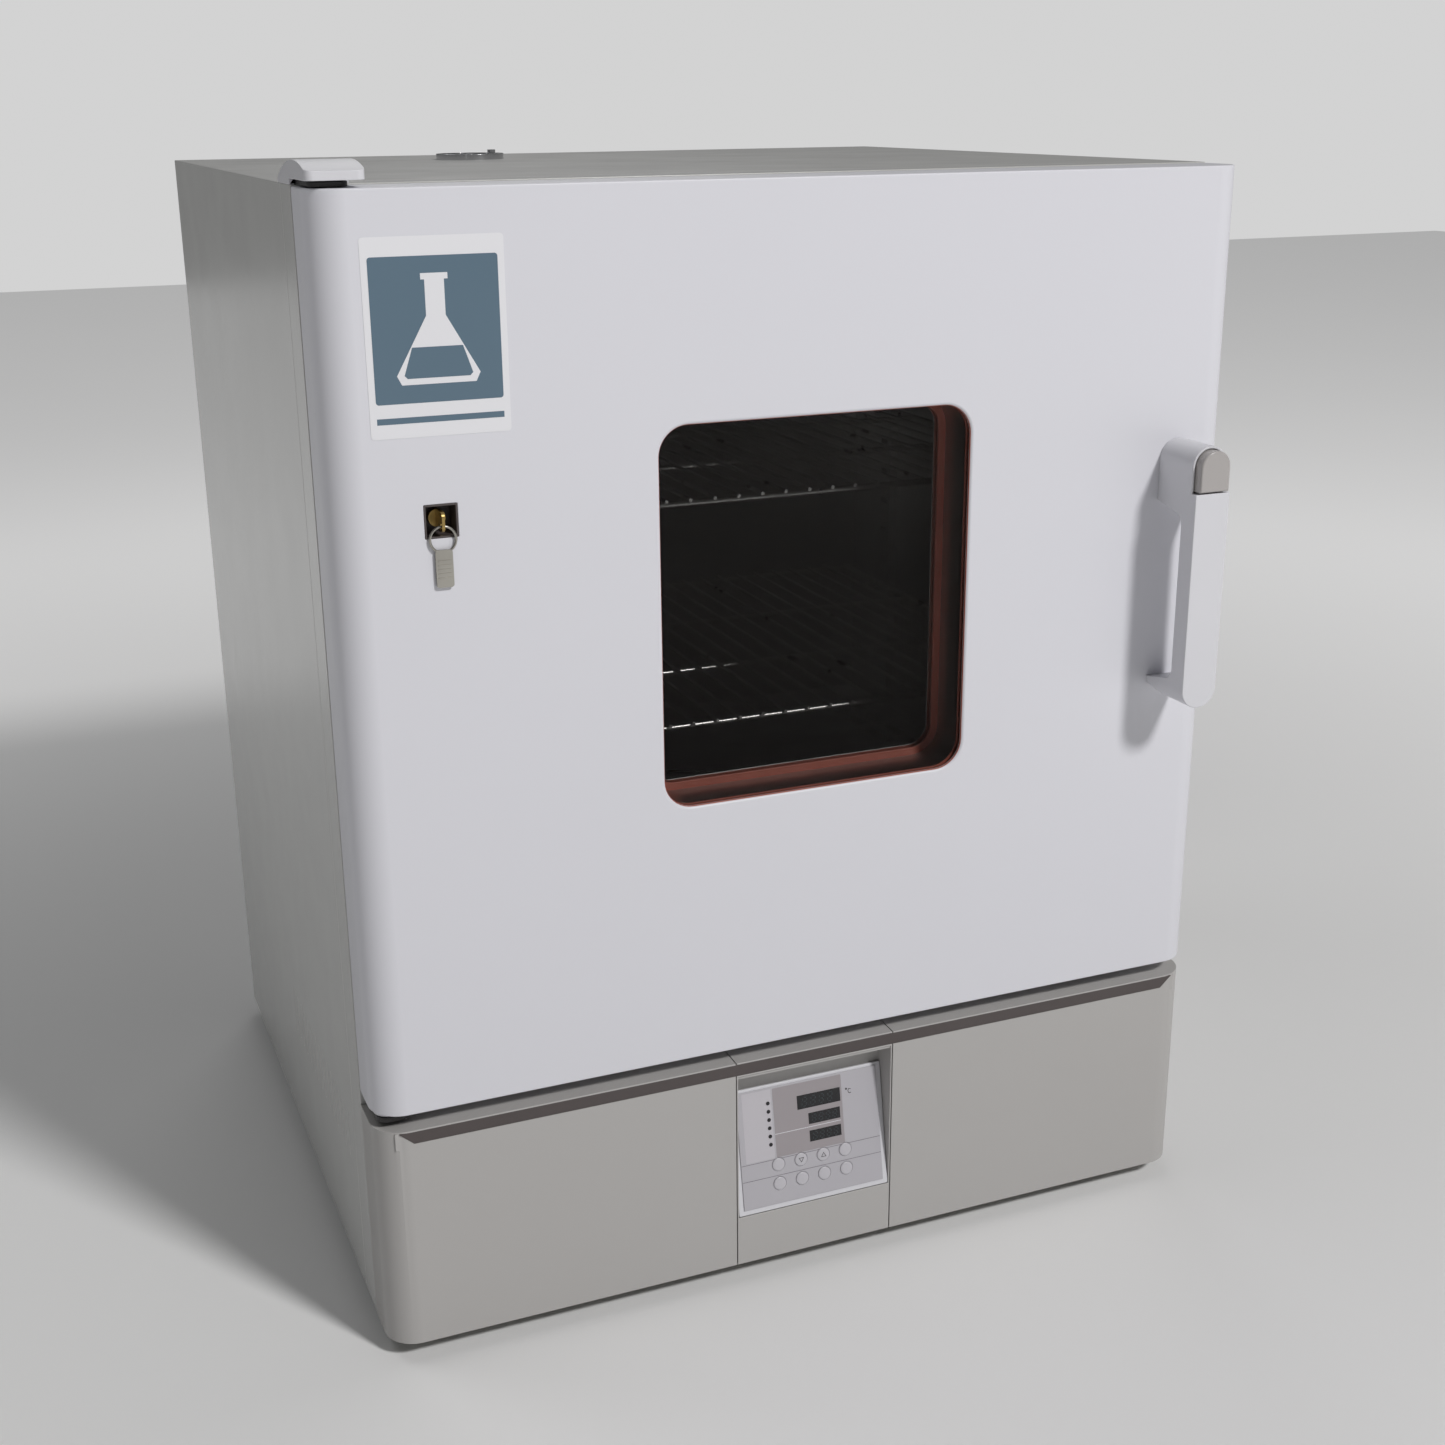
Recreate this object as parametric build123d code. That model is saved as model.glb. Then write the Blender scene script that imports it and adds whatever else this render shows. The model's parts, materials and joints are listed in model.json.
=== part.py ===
from build123d import *
import math
import os

# Bench-top forced-convection laboratory oven (incubator): an insulated cabinet with a stainless chamber,
# a windowed door hinged on the left, a base with the fan motor and controls, and wire shelves.
# Sizes in mm. X to the right seen from the front, Y towards the back, Z up.
# The origin is on the floor, at the centre of the footprint.

# ---------------------------------------------------------------- driving dimensions
CHAMBER_W = 600.0          # usable chamber, side to side
CHAMBER_D = 500.0          # chamber mouth to its rear wall
CHAMBER_H = 500.0          # floor baffle to ceiling
WALL_SIDE = 55.0           # chamber wall to the outside of the side panel
WALL_TOP = 60.0            # chamber ceiling to the top panel
WALL_REAR = 97.0           # chamber rear wall to the rear panel
WALL_FLOOR = 50.0          # equipment deck to the liner floor
PLENUM_H = 60.0            # liner floor to the top of the floor baffle
DECK_T = 3.0               # steel deck under the insulation
BASE_H = 182.0             # base plate to the underside of the deck
FOOT_H = 15.0              # rubber foot
SHEET = 1.2                # outer steel sheet
LINER_T = 1.0              # stainless sheet of the chamber and the door's inside
DOOR_T = 50.0              # door thickness
DOOR_GAP = 4.0             # door to the front frame, filled by the gasket
DOOR_LIFT = 13.0           # base fascia to the door's lower edge
DOOR_HEAD = 0.8            # door's top edge below the upper hinge plate
CORNER_R = 25.0            # vertical front corners of door and fascia
FLANGE = 36.0              # depth of the front frame's returns
SEAM = 0.8                 # visible joint between outer panels
SEAT = 0.3                 # clearance where one loose piece sits on another
RUNNING = 0.05             # radial clearance of a pin or shaft in its bore

WINDOW_W = 247.0
WINDOW_H = 284.0
WINDOW_R = 22.0
WINDOW_RISE = 2.5          # window centre above the middle of the chamber
PANE_T = 4.0
PANE_EDGE = 8.0            # pane beyond the window opening, each side
SEAL_T = 2.0               # silicone channel round each pane
SEAL_LIP = 5.0             # how far the inner seal shows inside the opening
FRAME_WALL = 1.5           # steel tunnel between the panes

HANDLE_W = 31.0
HANDLE_H = 207.0
HANDLE_OUT = 50.0          # grip front to the door's face
HANDLE_GRIP = 17.0         # grip thickness, front to back
HANDLE_INSET = 47.5        # handle centre in from the door's free edge
HANDLE_LOW_FOOT = 20.0     # height of the lower foot at the grip
HANDLE_TOP_FOOT = 53.0     # height of the upper foot at the grip
HANDLE_SWEEP = 9.0         # underside of the lower foot rises by this towards the door
HANDLE_TAPER = 5.0         # both feet get thinner by this towards the door, inside the D
HANDLE_BEND = 9.0          # inner corners of the D
BUTTON_H = 34.0
BUTTON_T = 16.0            # thumb button, front to back
BUTTON_PROUD = 2.0         # button face ahead of the grip
BUTTON_INSET = 2.5         # button's edge inside the handle's outline
BUTTON_CUT = 8.0           # collar round the button behind the button's face
BUTTON_GAP = 1.5           # button to the top of the grip
BUTTON_TRAVEL = 5.0
BUTTON_STEM_R = 5.0
BUTTON_STEM_END = 12.0     # stem's end ahead of the door's face
LATCH_LIFT = 7.0           # hook lift for the full button travel
LATCH_INSET = 22.0         # hook in from the door's free edge
LATCH_RISE = 80.0          # hook above the middle of the handle
LATCH_T = 4.0              # hook plate, and the hook's nose front to back
LATCH_H = 12.0             # hook's arm
LATCH_DROP = 8.0           # nose below the arm
LATCH_INSIDE = 26.0        # arm's front end behind the door's face
LATCH_PLAY = 0.4           # nose to the keeper, and arm to the slot in the door
KEEPER_T = 3.0
KEEPER_W = 28.0
KEEPER_EDGE = 10.0         # keeper above and below its slot

HINGE_INSET = 14.0         # hinge axis in from the left edge
HINGE_BACK = 34.0          # hinge axis ahead of the front frame
PIN_R = 4.0
PIN_L = 12.0               # pin inside the door
HINGE_PLATE_T = 4.0        # lower plate
HINGE_PLATE_TOP_T = 3.0    # upper plate
HINGE_OUT = 10.0           # plate from the axis towards the side
HINGE_IN = 16.0            # plate from the axis towards the middle
HINGE_FRONT = 12.0         # plate ahead of the axis
HINGE_TAIL = 26.0          # lower plate behind the front frame's face
HINGE_TAIL_TOP = 30.0      # upper plate behind the front frame's face
HINGE_CORNER_R = 9.0
BUSH_R = 8.0
BUSH_L = 14.0
BUSH_COLLAR = 3.0          # collar wider than the lower bush
BUSH_COLLAR_T = 2.5
COVER_W = 39.0             # moulded cap over the upper hinge
COVER_BACK = 43.0          # cap behind the front frame's face
COVER_H = 16.0
COVER_LIP = 6.0            # upright front edge of the cap
COVER_CREST = 42.0         # highest point behind the door's face
COVER_REAR_H = 4.0
COVER_CORNER_R = 6.0

FASCIA_MID = 69.0          # half width of the fascia's middle section
PANEL_DROP = 24.8          # upper edge of the control panel below the dark strip
PANEL_L = 105.7            # control panel, bottom to top along its slope
PANEL_TILT = 10.4          # degrees back from upright
BEZEL_T = 3.0
OVERLAY_INSET = 4.5        # bezel margin round the membrane overlay
OVERLAY_T = 1.0
KEY_R = 5.5
KEY_PITCH = 20.0
KEY_COUNT = 4
KEY_ROWS = (37.5, 21.3)    # key rows above the panel's lower edge
KEY_GAP = 0.6              # key underside to the bezel
KEY_H = 1.6
LENS_T = 0.4
LENS_R = 1.6               # indicator lens
LENS_COUNT = 6
LENS_PITCH = 7.0
LENS_X = -35.4
LENS_TOP = 90.5            # highest indicator lens above the panel's lower edge
DISPLAYS = ((-9.8, 28.8, 85.55, 11.7), (-0.6, 27.7, 70.3, 9.4), (-0.6, 27.7, 55.3, 9.4))  # left, right, middle, height
LAYOUT_L = 105.7           # panel length at which displays, lenses and key rows have these heights
BOARD_T = 1.6
BOARD_GAP = 14.0           # circuit board behind the bezel's face, less the bezel
BOARD_W = 104.0
BOARD_MARGIN = 14.0        # board's edge above the panel's lower edge
BOARD_POST = 6.0
TRIM_H = 11.0              # dark strip along the fascia's top edge
TRIM_T = 1.2
TRIM_INSET = 17.0          # strip's end in from the side

LOUVRE_COUNT = 15
LOUVRE_PITCH = 16.6
LOUVRE_W = 3.0
LOUVRE_H = 40.0
LOUVRE_RISE = 105.0        # louvre bottoms above the base plate
LOUVRE_START = 26.0        # first louvre behind the side panel's front edge

GASKET_W = 12.0
GASKET_OUT = 8.0           # chamber mouth to the gasket

POST_W = 24.0
POST_T = 8.0
POST_WALL = 1.2
POST_INSET = 85.0          # posts behind the chamber mouth, and ahead of its rear wall
POST_END = 12.0            # posts clear of the floor baffle and the ceiling
SLOT_PITCH = 30.0
SLOT_W = 14.0
SLOT_H = 5.0
SLOT_FIRST = 40.0          # lowest slot above the floor baffle
CLIP_W = 10.0
CLIP_T = 4.0
CLIP_L = 16.0              # clip beyond the face of its post
CLIP_LIP = 4.0             # lip at the clip's end, above the shelf's seat
CLIP_LIP_T = 2.0
CLIP_HOOK = 2.0            # clip behind the post's face
SHELF_SLOTS = (3, 9)       # slots that carry the lower and the upper shelf
SHELF_FRONT = 50.0         # shelf behind the chamber mouth, pushed back
SHELF_REAR = 10.0          # shelf ahead of the chamber's rear wall, pushed back
SHELF_BARS = 4
SHELF_RIM_R = 3.0
SHELF_BAR_R = 2.6
SHELF_WIRE_R = 1.5
SHELF_WIRE_SINK = 1.0      # depth of the weld between wire and bar
SHELF_WIRE_PITCH = 20.0

FAN_R = 105.0
FAN_BLADES = 24
FAN_BLADE_L = 25.0
FAN_BLADE_TURN = 35.0      # blades lean back by this many degrees
FAN_H = 37.0
FAN_PLATE = 1.5
FAN_HUB_R = 16.0
FAN_HUB_H = 26.0
FAN_RISE = 8.0             # fan back plate above the liner floor
NUT_R = 8.0
NUT_H = 5.0
SHAFT_R = 4.0
SHAFT_HOLE_R = 10.0
FAN_EYE_R = 72.0           # inlet in the floor baffle
MOTOR_R = 42.0
MOTOR_H = 70.0
MOTOR_FLANGE = 92.0
MOTOR_FLANGE_T = 6.0
MOTOR_SOCKET = 22.0        # shaft's lower end above the motor's lower end
HEATER_R = 4.0
HEATER_RINGS = ((23.0, 18.0, 20.0), (37.0, 36.0, 45.0))   # clear of the fan, rise above the floor, half gap
HEATER_LEAD = 18.0         # heater ends below the deck
LEAD_R = 4.6               # sleeve on each heater end

VENT_X = -115.0
VENT_Y = 151.0             # exhaust port ahead of the rear panel's outside
VENT_R = 30.0
VENT_H = 5.0
VENT_WALL = 4.0
VENT_FLOOR = 1.5
DUCT_R = 16.0
DUCT_WALL = 1.5
VENT_HOLE_R = 5.0
VENT_HOLE_X = 8.0          # holes each side of the port's centre
DAMPER_T = 1.5
DAMPER_PIN_R = 2.0
DAMPER_HEAD = 1.2          # rivet head
DAMPER_KNOB_R = 3.5
DAMPER_KNOB_X = 20.0
DAMPER_KNOB_H = 3.0        # knob above the port's rim
INTAKE_X = 150.0
INTAKE_RISE = 30.0
INTAKE_COLLAR_R = 26.0
INTAKE_COLLAR_T = 4.0
PROBE_R = 2.5
PROBE_X = 60.0
PROBE_DROP = 60.0          # probes below the ceiling
PROBE_REACH = 70.0
PROBE_TAIL = 5.0           # probe ends ahead of the rear panel
OUTLET_W = 10.0            # air outlets in the floor baffle
OUTLET_L = 32.0
OUTLET_PITCH = 44.0
OUTLET_INSETS = (30.0, 52.0)
OUTLET_MARGIN = 40.0       # no outlets this near to the front and rear walls

KEYSWITCH_INSET = 74.5     # key switch in from the left edge
KEYSWITCH_RISE = 90.0      # key switch above the window centre
KEYSWITCH_W = 23.0
KEYSWITCH_D = 20.0
KEYSWITCH_WALL = 1.2
BARREL_R = 6.0
BARREL_FACE = 12.0         # barrel's face behind the door's face
BARREL_END = 26.0
BARREL_FLANGE = 1.5
BOW_W = 14.0
BOW_T = 2.0
BOW_OUT = 6.0              # bow ahead of the door's face
BOW_HOLE_R = 2.6
BOW_HOLE_Y = -2.0
BOW_HOLE_Z = -2.0
RING_R = 9.0
RING_WIRE_R = 0.9
RING_HANG = 1.2            # ring's top below the middle of the bow's hole
TAG_W = 12.0               # spare key's flat bow
TAG_H = 26.0
TAG_T = 1.8
TAG_RIDGE = 0.5
TAG_RIDGES = 5
TAG_RIDGE_PITCH = 3.0

BREAKER_W = 36.0
BREAKER_H = 70.0
BREAKER_D = 48.0
BREAKER_START = 22.0       # breaker behind the side panel's front edge
BREAKER_RISE = 24.0
BREAKER_RIM = 4.0          # body wider than the opening in the side panel
BREAKER_SHY = 0.5          # face behind the side panel's outside
TOGGLE_IN = 10.0           # toggle's axis behind the side panel's outside
TOGGLE_R = 3.5
TOGGLE_L = 9.0
TOGGLE_W = 10.0
TOGGLE_T = 3.6
TOGGLE_POCKET = 4.0        # toggle's axis to the floor of its pocket
TOGGLE_HALF_W = 8.0
TOGGLE_HALF_H = 13.0
GLAND_R = 14.0
GLAND_NECK_R = 10.0
GLAND_OUT = 14.0
GLAND_IN = 12.0            # gland inside the rear panel
GLAND_BORE_R = 4.5
GLAND_INSET = 105.0        # gland in from the right side
GLAND_RISE = 60.0
TERMINALS = (80.0, 28.0, 26.0)      # width, depth, height
TERMINALS_BACK = 62.0               # ahead of the rear panel's outside
RELAY = (60.0, 45.0, 60.0)
RELAY_BACK = 75.0
RELAY_SHIFT = 130.0                 # relay to the left of the gland
FIN_PITCH = 8.0
FIN_GAP = 5.0
FIN_DEPTH = 25.0
FIN_ROOT = 8.0                      # fins start above the relay's foot
FOOT_R = 20.0
FOOT_INSET = 45.0          # feet in from the sides and the back
FOOT_BACK = 30.0           # front feet behind the front frame's face
FOOT_HOLE_R = 7.0
SCREW_R = 3.0
SCREW_PLAY = 0.2
SCREW_HEAD_R = 5.0
SCREW_HEAD_T = 4.0
SCREW_L = 10.0             # foot screw above the foot
PANEL_SCREW_R = 2.0
PANEL_SCREW_HEAD_R = 4.0
PANEL_SCREW_HEAD_T = 2.0
PANEL_SCREW_INSET = 20.0
FRAME_FOOT = 25.0          # front frame below the opening in its base
FRAME_HEAD = 20.0          # front frame between that opening and the deck

# ---------------------------------------------------------------- places that follow
DEPTH = DOOR_T + DOOR_GAP + CHAMBER_D + WALL_REAR
HALF_W = CHAMBER_W / 2 + WALL_SIDE
INNER_W = HALF_W - SHEET
BUTTON_OUT = HANDLE_OUT + BUTTON_PROUD
Y_DOOR = -(DEPTH + GLAND_OUT - BUTTON_OUT) / 2      # face of the door
Y_DOOR_BACK = Y_DOOR + DOOR_T
Y_FRAME = Y_DOOR_BACK + DOOR_GAP                    # face of the front frame
Y_SIDE = Y_FRAME + FLANGE + SEAM                    # front edge of the side and top panels
Y_REAR_WALL = Y_FRAME + CHAMBER_D                   # chamber's rear wall
Y_BACK = Y_DOOR + DEPTH
Y_LINER = Y_DOOR_BACK - LINER_T                     # front face of the door's inside sheet
Z_BASE = FOOT_H
Z_DECK = Z_BASE + BASE_H
Z_DECK_TOP = Z_DECK + DECK_T
Z_FLOOR = Z_DECK_TOP + WALL_FLOOR
Z_BAFFLE = Z_FLOOR + PLENUM_H
Z_CEILING = Z_BAFFLE + CHAMBER_H
Z_TOP = Z_CEILING + WALL_TOP
Z_FASCIA = Z_DECK_TOP - SHEET
Z_DOOR = Z_FASCIA + DOOR_LIFT
Z_DOOR_TOP = Z_TOP - DOOR_HEAD
Z_WINDOW = Z_BAFFLE + CHAMBER_H / 2 + WINDOW_RISE
HINGE_X = HINGE_INSET - HALF_W
HINGE_Y = Y_FRAME - HINGE_BACK
HANDLE_X = HALF_W - HANDLE_INSET
HANDLE_LOW = Z_WINDOW - HANDLE_H / 2
HANDLE_TOP = Z_WINDOW + HANDLE_H / 2
LATCH_X = HALF_W - LATCH_INSET
LATCH_Z = Z_WINDOW + LATCH_RISE
LATCH_SLOT_H = LATCH_H + LATCH_LIFT + 1.0
KEEPER_BACK = Y_FRAME + SHEET + KEEPER_T
FAN_Y = Y_FRAME + CHAMBER_D / 2
VENT_AT = Y_BACK - VENT_Y
KEYSWITCH_X = KEYSWITCH_INSET - HALF_W
KEYSWITCH_Z = Z_WINDOW + KEYSWITCH_RISE
PANEL_HALF = FASCIA_MID - SEAM / 2 - SHEET - SEAT
PANEL_LEAN = PANEL_L * math.sin(math.radians(PANEL_TILT))
RECESS_BACK = Y_DOOR + PANEL_LEAN + BEZEL_T + SEAT
Z_TRIM = Z_FASCIA - TRIM_H
Z_PANEL_TOP = Z_TRIM - PANEL_DROP
Z_PANEL = Z_PANEL_TOP - PANEL_L * math.cos(math.radians(PANEL_TILT))
TRIM_HALF = HALF_W - TRIM_INSET
POST_FACE = CHAMBER_W / 2 - POST_T
POST_LOW = Z_BAFFLE + POST_END
POST_HIGH = Z_CEILING - POST_END
SLOT_COUNT = int((POST_HIGH - Z_BAFFLE - SLOT_FIRST) // SLOT_PITCH) + 1
RIM_X = POST_FACE - CLIP_L / 2
SHELF_Y = (Y_FRAME + SHELF_FRONT, Y_REAR_WALL - SHELF_REAR)
GLAND_X = HALF_W - GLAND_INSET
GLAND_Z = Z_BASE + GLAND_RISE
INTAKE_Z = Z_FLOOR + INTAKE_RISE
PROBE_Z = Z_CEILING - PROBE_DROP
SEAL_OUT = PANE_EDGE + SEAL_T                       # seal's outline beyond the window opening
FRONT_PANE = Y_DOOR + SHEET + SEAL_T                # front faces of the two panes
REAR_PANE = Y_LINER - SEAL_T - PANE_T
BUTTON_BACK = Y_DOOR - BUTTON_OUT + BUTTON_T
STEM_Z = HANDLE_TOP - BUTTON_H / 2 - BUTTON_PROUD
LOWER_PLATE_TOP = Z_DOOR - BUSH_COLLAR_T - SEAT

# The control panel is drawn flat: x to the right, y up its slope, z outwards from its face.
PANEL_OUT = (0, -math.cos(math.radians(PANEL_TILT)), math.sin(math.radians(PANEL_TILT)))
PANEL = Plane(origin=(0, Y_DOOR, Z_PANEL), x_dir=(1, 0, 0), z_dir=PANEL_OUT)


# ---------------------------------------------------------------- helpers
def block(x, y, z):
    """Box between two corners, each direction given as (low, high)."""
    size = [high - low for low, high in (x, y, z)]
    middle = [(high + low) / 2 for low, high in (x, y, z)]
    return Pos(*middle) * Box(*size)


def rod(start, end, radius):
    """Round bar between two points."""
    length = (Vector(*end) - Vector(*start)).length
    at = Plane(origin=start, z_dir=Vector(*end) - Vector(*start))
    return at * Cylinder(radius, length, align=(Align.CENTER, Align.CENTER, Align.MIN))


def upright_plate(width, height, radius, y, thickness, z):
    """Plate with round corners, standing parallel to the door, centred on X."""
    outline = Plane.XZ * RectangleRounded(width, height, radius)
    return Pos(0, y, z) * extrude(outline, -thickness)


def front_rounded(half_width, y, z, radius):
    """Box whose two upright front corners are round."""
    body = block((-half_width, half_width), y, z)
    return fillet(body.edges().filter_by(Axis.Z).group_by(Axis.Y)[0], radius)


def span(half):
    return (-half, half)


# ---------------------------------------------------------------- cabinet panels
def louvres(x, y_first):
    slot = block(x, (0, LOUVRE_W), (Z_BASE + LOUVRE_RISE, Z_BASE + LOUVRE_RISE + LOUVRE_H))
    return [Pos(0, y_first + i * LOUVRE_PITCH, 0) * slot for i in range(LOUVRE_COUNT)]


def breaker_place():
    y = (Y_SIDE + BREAKER_START, Y_SIDE + BREAKER_START + BREAKER_W)
    z = (Z_BASE + BREAKER_RISE, Z_BASE + BREAKER_RISE + BREAKER_H)
    return y, z


def side_panel():
    panel = block((INNER_W, HALF_W), (Y_SIDE, Y_BACK), (Z_BASE, Z_TOP))
    return panel - louvres((INNER_W - 1, HALF_W + 1), Y_SIDE + LOUVRE_START)


def side_panel_right():
    y, z = breaker_place()
    hole_y = (y[0] - SEAT, y[1] + SEAT)
    hole_z = (z[0] - SEAT, z[1] + SEAT)
    return side_panel() - block((INNER_W - 1, HALF_W + 1), hole_y, hole_z)


def top_panel():
    panel = block(span(INNER_W), (Y_SIDE, Y_BACK), (Z_TOP - SHEET, Z_TOP))
    return panel - Pos(VENT_X, VENT_AT, Z_TOP) * Cylinder(DUCT_R + SEAT, 4 * SHEET)


def rear_screw_places():
    edge = INNER_W - PANEL_SCREW_INSET
    rows = (Z_BASE + PANEL_SCREW_INSET, Z_DECK - 1.5 * PANEL_SCREW_INSET, Z_TOP - PANEL_SCREW_INSET)
    return [(x, z) for x in (-edge, edge) for z in rows] + [(0, z) for z in rows[1:]]


def rear_panel():
    panel = block(span(INNER_W), (Y_BACK - SHEET, Y_BACK), (Z_BASE + SHEET, Z_TOP - SHEET))
    holes = [(x, z, PANEL_SCREW_R + SCREW_PLAY) for x, z in rear_screw_places()]
    holes += [(GLAND_X, GLAND_Z, GLAND_NECK_R + SEAT), (INTAKE_X, INTAKE_Z, DUCT_R + SEAT)]
    return panel - [rod((x, Y_BACK - 9, z), (x, Y_BACK + 9, z), radius) for x, z, radius in holes]


def base_plate():
    plate = front_rounded(INNER_W, (Y_DOOR + SHEET, Y_BACK), (Z_BASE, Z_BASE + SHEET), CORNER_R - SHEET)
    return plate - [Pos(x, y, Z_BASE) * Cylinder(SCREW_R + SCREW_PLAY, 4 * SHEET) for x, y in foot_places()]


def equipment_deck():
    deck = block(span(INNER_W), (Y_FRAME + SHEET, Y_BACK - SHEET), (Z_DECK, Z_DECK_TOP))
    deck -= Pos(0, FAN_Y, Z_DECK) * Cylinder(SHAFT_HOLE_R, 4 * DECK_T)
    return deck - heater_lead_holes(LEAD_R + SEAT)


def front_frame():
    frame = block(span(HALF_W), (Y_FRAME, Y_FRAME + FLANGE), (Z_BASE, Z_TOP))
    frame -= block(span(INNER_W), (Y_FRAME + SHEET, Y_SIDE), (Z_BASE - 1, Z_TOP - SHEET))
    frame -= block(span(INNER_W), (Y_FRAME - 1, Y_SIDE), (Z_BASE - 1, Z_BASE + SHEET))
    frame -= block(span(CHAMBER_W / 2), (Y_FRAME - 1, Y_SIDE), (Z_FLOOR, Z_CEILING))
    frame -= block(span(CHAMBER_W / 2), (Y_FRAME - 1, Y_SIDE), (Z_BASE + FRAME_FOOT, Z_DECK - FRAME_HEAD))
    frame -= latch_slot(LATCH_T, Y_FRAME - 1, Y_FRAME + SHEET + 1)
    return frame - lower_hinge_tail(SEAT)


# ---------------------------------------------------------------- base fascia and control panel
def fascia_shell():
    shell = front_rounded(HALF_W, (Y_DOOR, Y_FRAME), (Z_BASE, Z_FASCIA), CORNER_R)
    shell -= front_rounded(INNER_W, (Y_DOOR + SHEET, Y_FRAME + 1), (Z_BASE - 1, Z_FASCIA - SHEET),
                           CORNER_R - SHEET)
    shell -= trim_strip(SEAT / 2)
    backing = block(span(TRIM_HALF + 3), (Y_DOOR + SHEET, Y_DOOR + 2 * SHEET), (Z_TRIM - 4, Z_FASCIA - SHEET))
    return shell + backing


def trim_strip(grow):
    """Dark strip let into the fascia's upper edge, its ends cut at 45 degrees."""
    top = Z_FASCIA - SHEET
    outline = Polyline((-TRIM_HALF - grow, top), (TRIM_HALF + grow, top),
                       (TRIM_HALF - TRIM_H + grow, Z_TRIM - grow), (-TRIM_HALF + TRIM_H - grow, Z_TRIM - grow),
                       close=True)
    return Pos(0, Y_DOOR, 0) * extrude(Plane.XZ * make_face(outline), -TRIM_T)


def fascia_side(sign):
    inner = FASCIA_MID + SEAM / 2
    x = (inner, HALF_W) if sign > 0 else (-HALF_W, -inner)
    return fascia_shell() & block(x, (Y_DOOR, Y_FRAME), (Z_BASE, Z_FASCIA))


def fascia_centre():
    edge = FASCIA_MID - SEAM / 2
    recess_top = Z_TRIM - SEAT
    middle = fascia_shell() & block(span(edge), (Y_DOOR, Y_FRAME), (Z_BASE, Z_FASCIA))
    middle -= block(span(edge), (Y_DOOR, Y_DOOR + SHEET), (Z_PANEL - SEAM, recess_top - SHEET))
    for side in (-1, 1):
        cheek = block((edge - SHEET, edge), (Y_DOOR, RECESS_BACK + SHEET), (Z_PANEL - 2 * SEAM, recess_top))
        middle += Pos((side - 1) * (edge - SHEET / 2), 0, 0) * cheek
    middle += block(span(edge), (RECESS_BACK, RECESS_BACK + SHEET), (Z_PANEL_TOP - 8, recess_top))
    return middle + block(span(edge), (Y_DOOR, RECESS_BACK + SHEET), (recess_top - SHEET, recess_top))


def control_bezel():
    plate = block(span(PANEL_HALF), (0, PANEL_L), (-BEZEL_T, 0))
    return PANEL * fillet(plate.edges().group_by(Axis.Z)[-1], 0.6)


def up_panel(v):
    """A height in the film's layout, spread with the panel's length."""
    return v * PANEL_L / LAYOUT_L


def key_places():
    return [((i - (KEY_COUNT - 1) / 2) * KEY_PITCH, up_panel(v)) for v in KEY_ROWS for i in range(KEY_COUNT)]


def control_overlay():
    along = (OVERLAY_INSET, PANEL_L - OVERLAY_INSET / 2)
    overlay = block(span(PANEL_HALF - OVERLAY_INSET), along, (0, OVERLAY_T))
    return PANEL * (overlay - [Pos(u, v, 0) * Cylinder(KEY_R + SEAT, 4 * OVERLAY_T) for u, v in key_places()])


def display_windows():
    """Three display lenses and a column of six indicator lenses."""
    lens = (OVERLAY_T, OVERLAY_T + LENS_T)
    pieces = [block((left, right), (up_panel(middle) - height / 2, up_panel(middle) + height / 2), lens)
              for left, right, middle, height in DISPLAYS]
    lamp = Cylinder(LENS_R, LENS_T)
    pieces += [Pos(LENS_X, up_panel(LENS_TOP - i * LENS_PITCH), OVERLAY_T + LENS_T / 2) * lamp
               for i in range(LENS_COUNT)]
    return [PANEL * piece for piece in pieces]


def control_board():
    """Circuit board on four posts behind the bezel, with a transformer and a relay on its back."""
    back = -BEZEL_T - BOARD_GAP
    along = (BOARD_MARGIN, PANEL_L - BOARD_MARGIN / 2)
    board = block(span(BOARD_W / 2), along, (back, back + BOARD_T))
    post = block(span(BOARD_POST / 2), span(BOARD_POST / 2), (back + BOARD_T, -BEZEL_T))
    posts = [Pos(u, v, 0) * post for u in span(BOARD_W / 2 - BOARD_POST)
             for v in (along[0] + BOARD_POST, along[1] - BOARD_POST)]
    parts = block((-40, -12), (30, 60), (back - 16, back))
    parts += block((5, 40), (25, 45), (back - 10, back))
    return [PANEL * piece for piece in [board, parts] + posts]


def membrane_key(u, v):
    key = Pos(u, v, KEY_GAP + KEY_H / 2) * Cylinder(KEY_R, KEY_H)
    return PANEL * fillet(key.edges().group_by(Axis.Z)[-1], KEY_H / 2)


# ---------------------------------------------------------------- chamber
def heater_lead_places():
    places = []
    for clear, _, gap in HEATER_RINGS:
        y = FAN_Y + math.sqrt((FAN_R + clear) ** 2 - gap ** 2)
        places += [(-gap, y), (gap, y)]
    return places


def heater_lead_holes(radius):
    return [rod((x, y, Z_DECK - 9), (x, y, Z_FLOOR + 9), radius) for x, y in heater_lead_places()]


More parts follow.
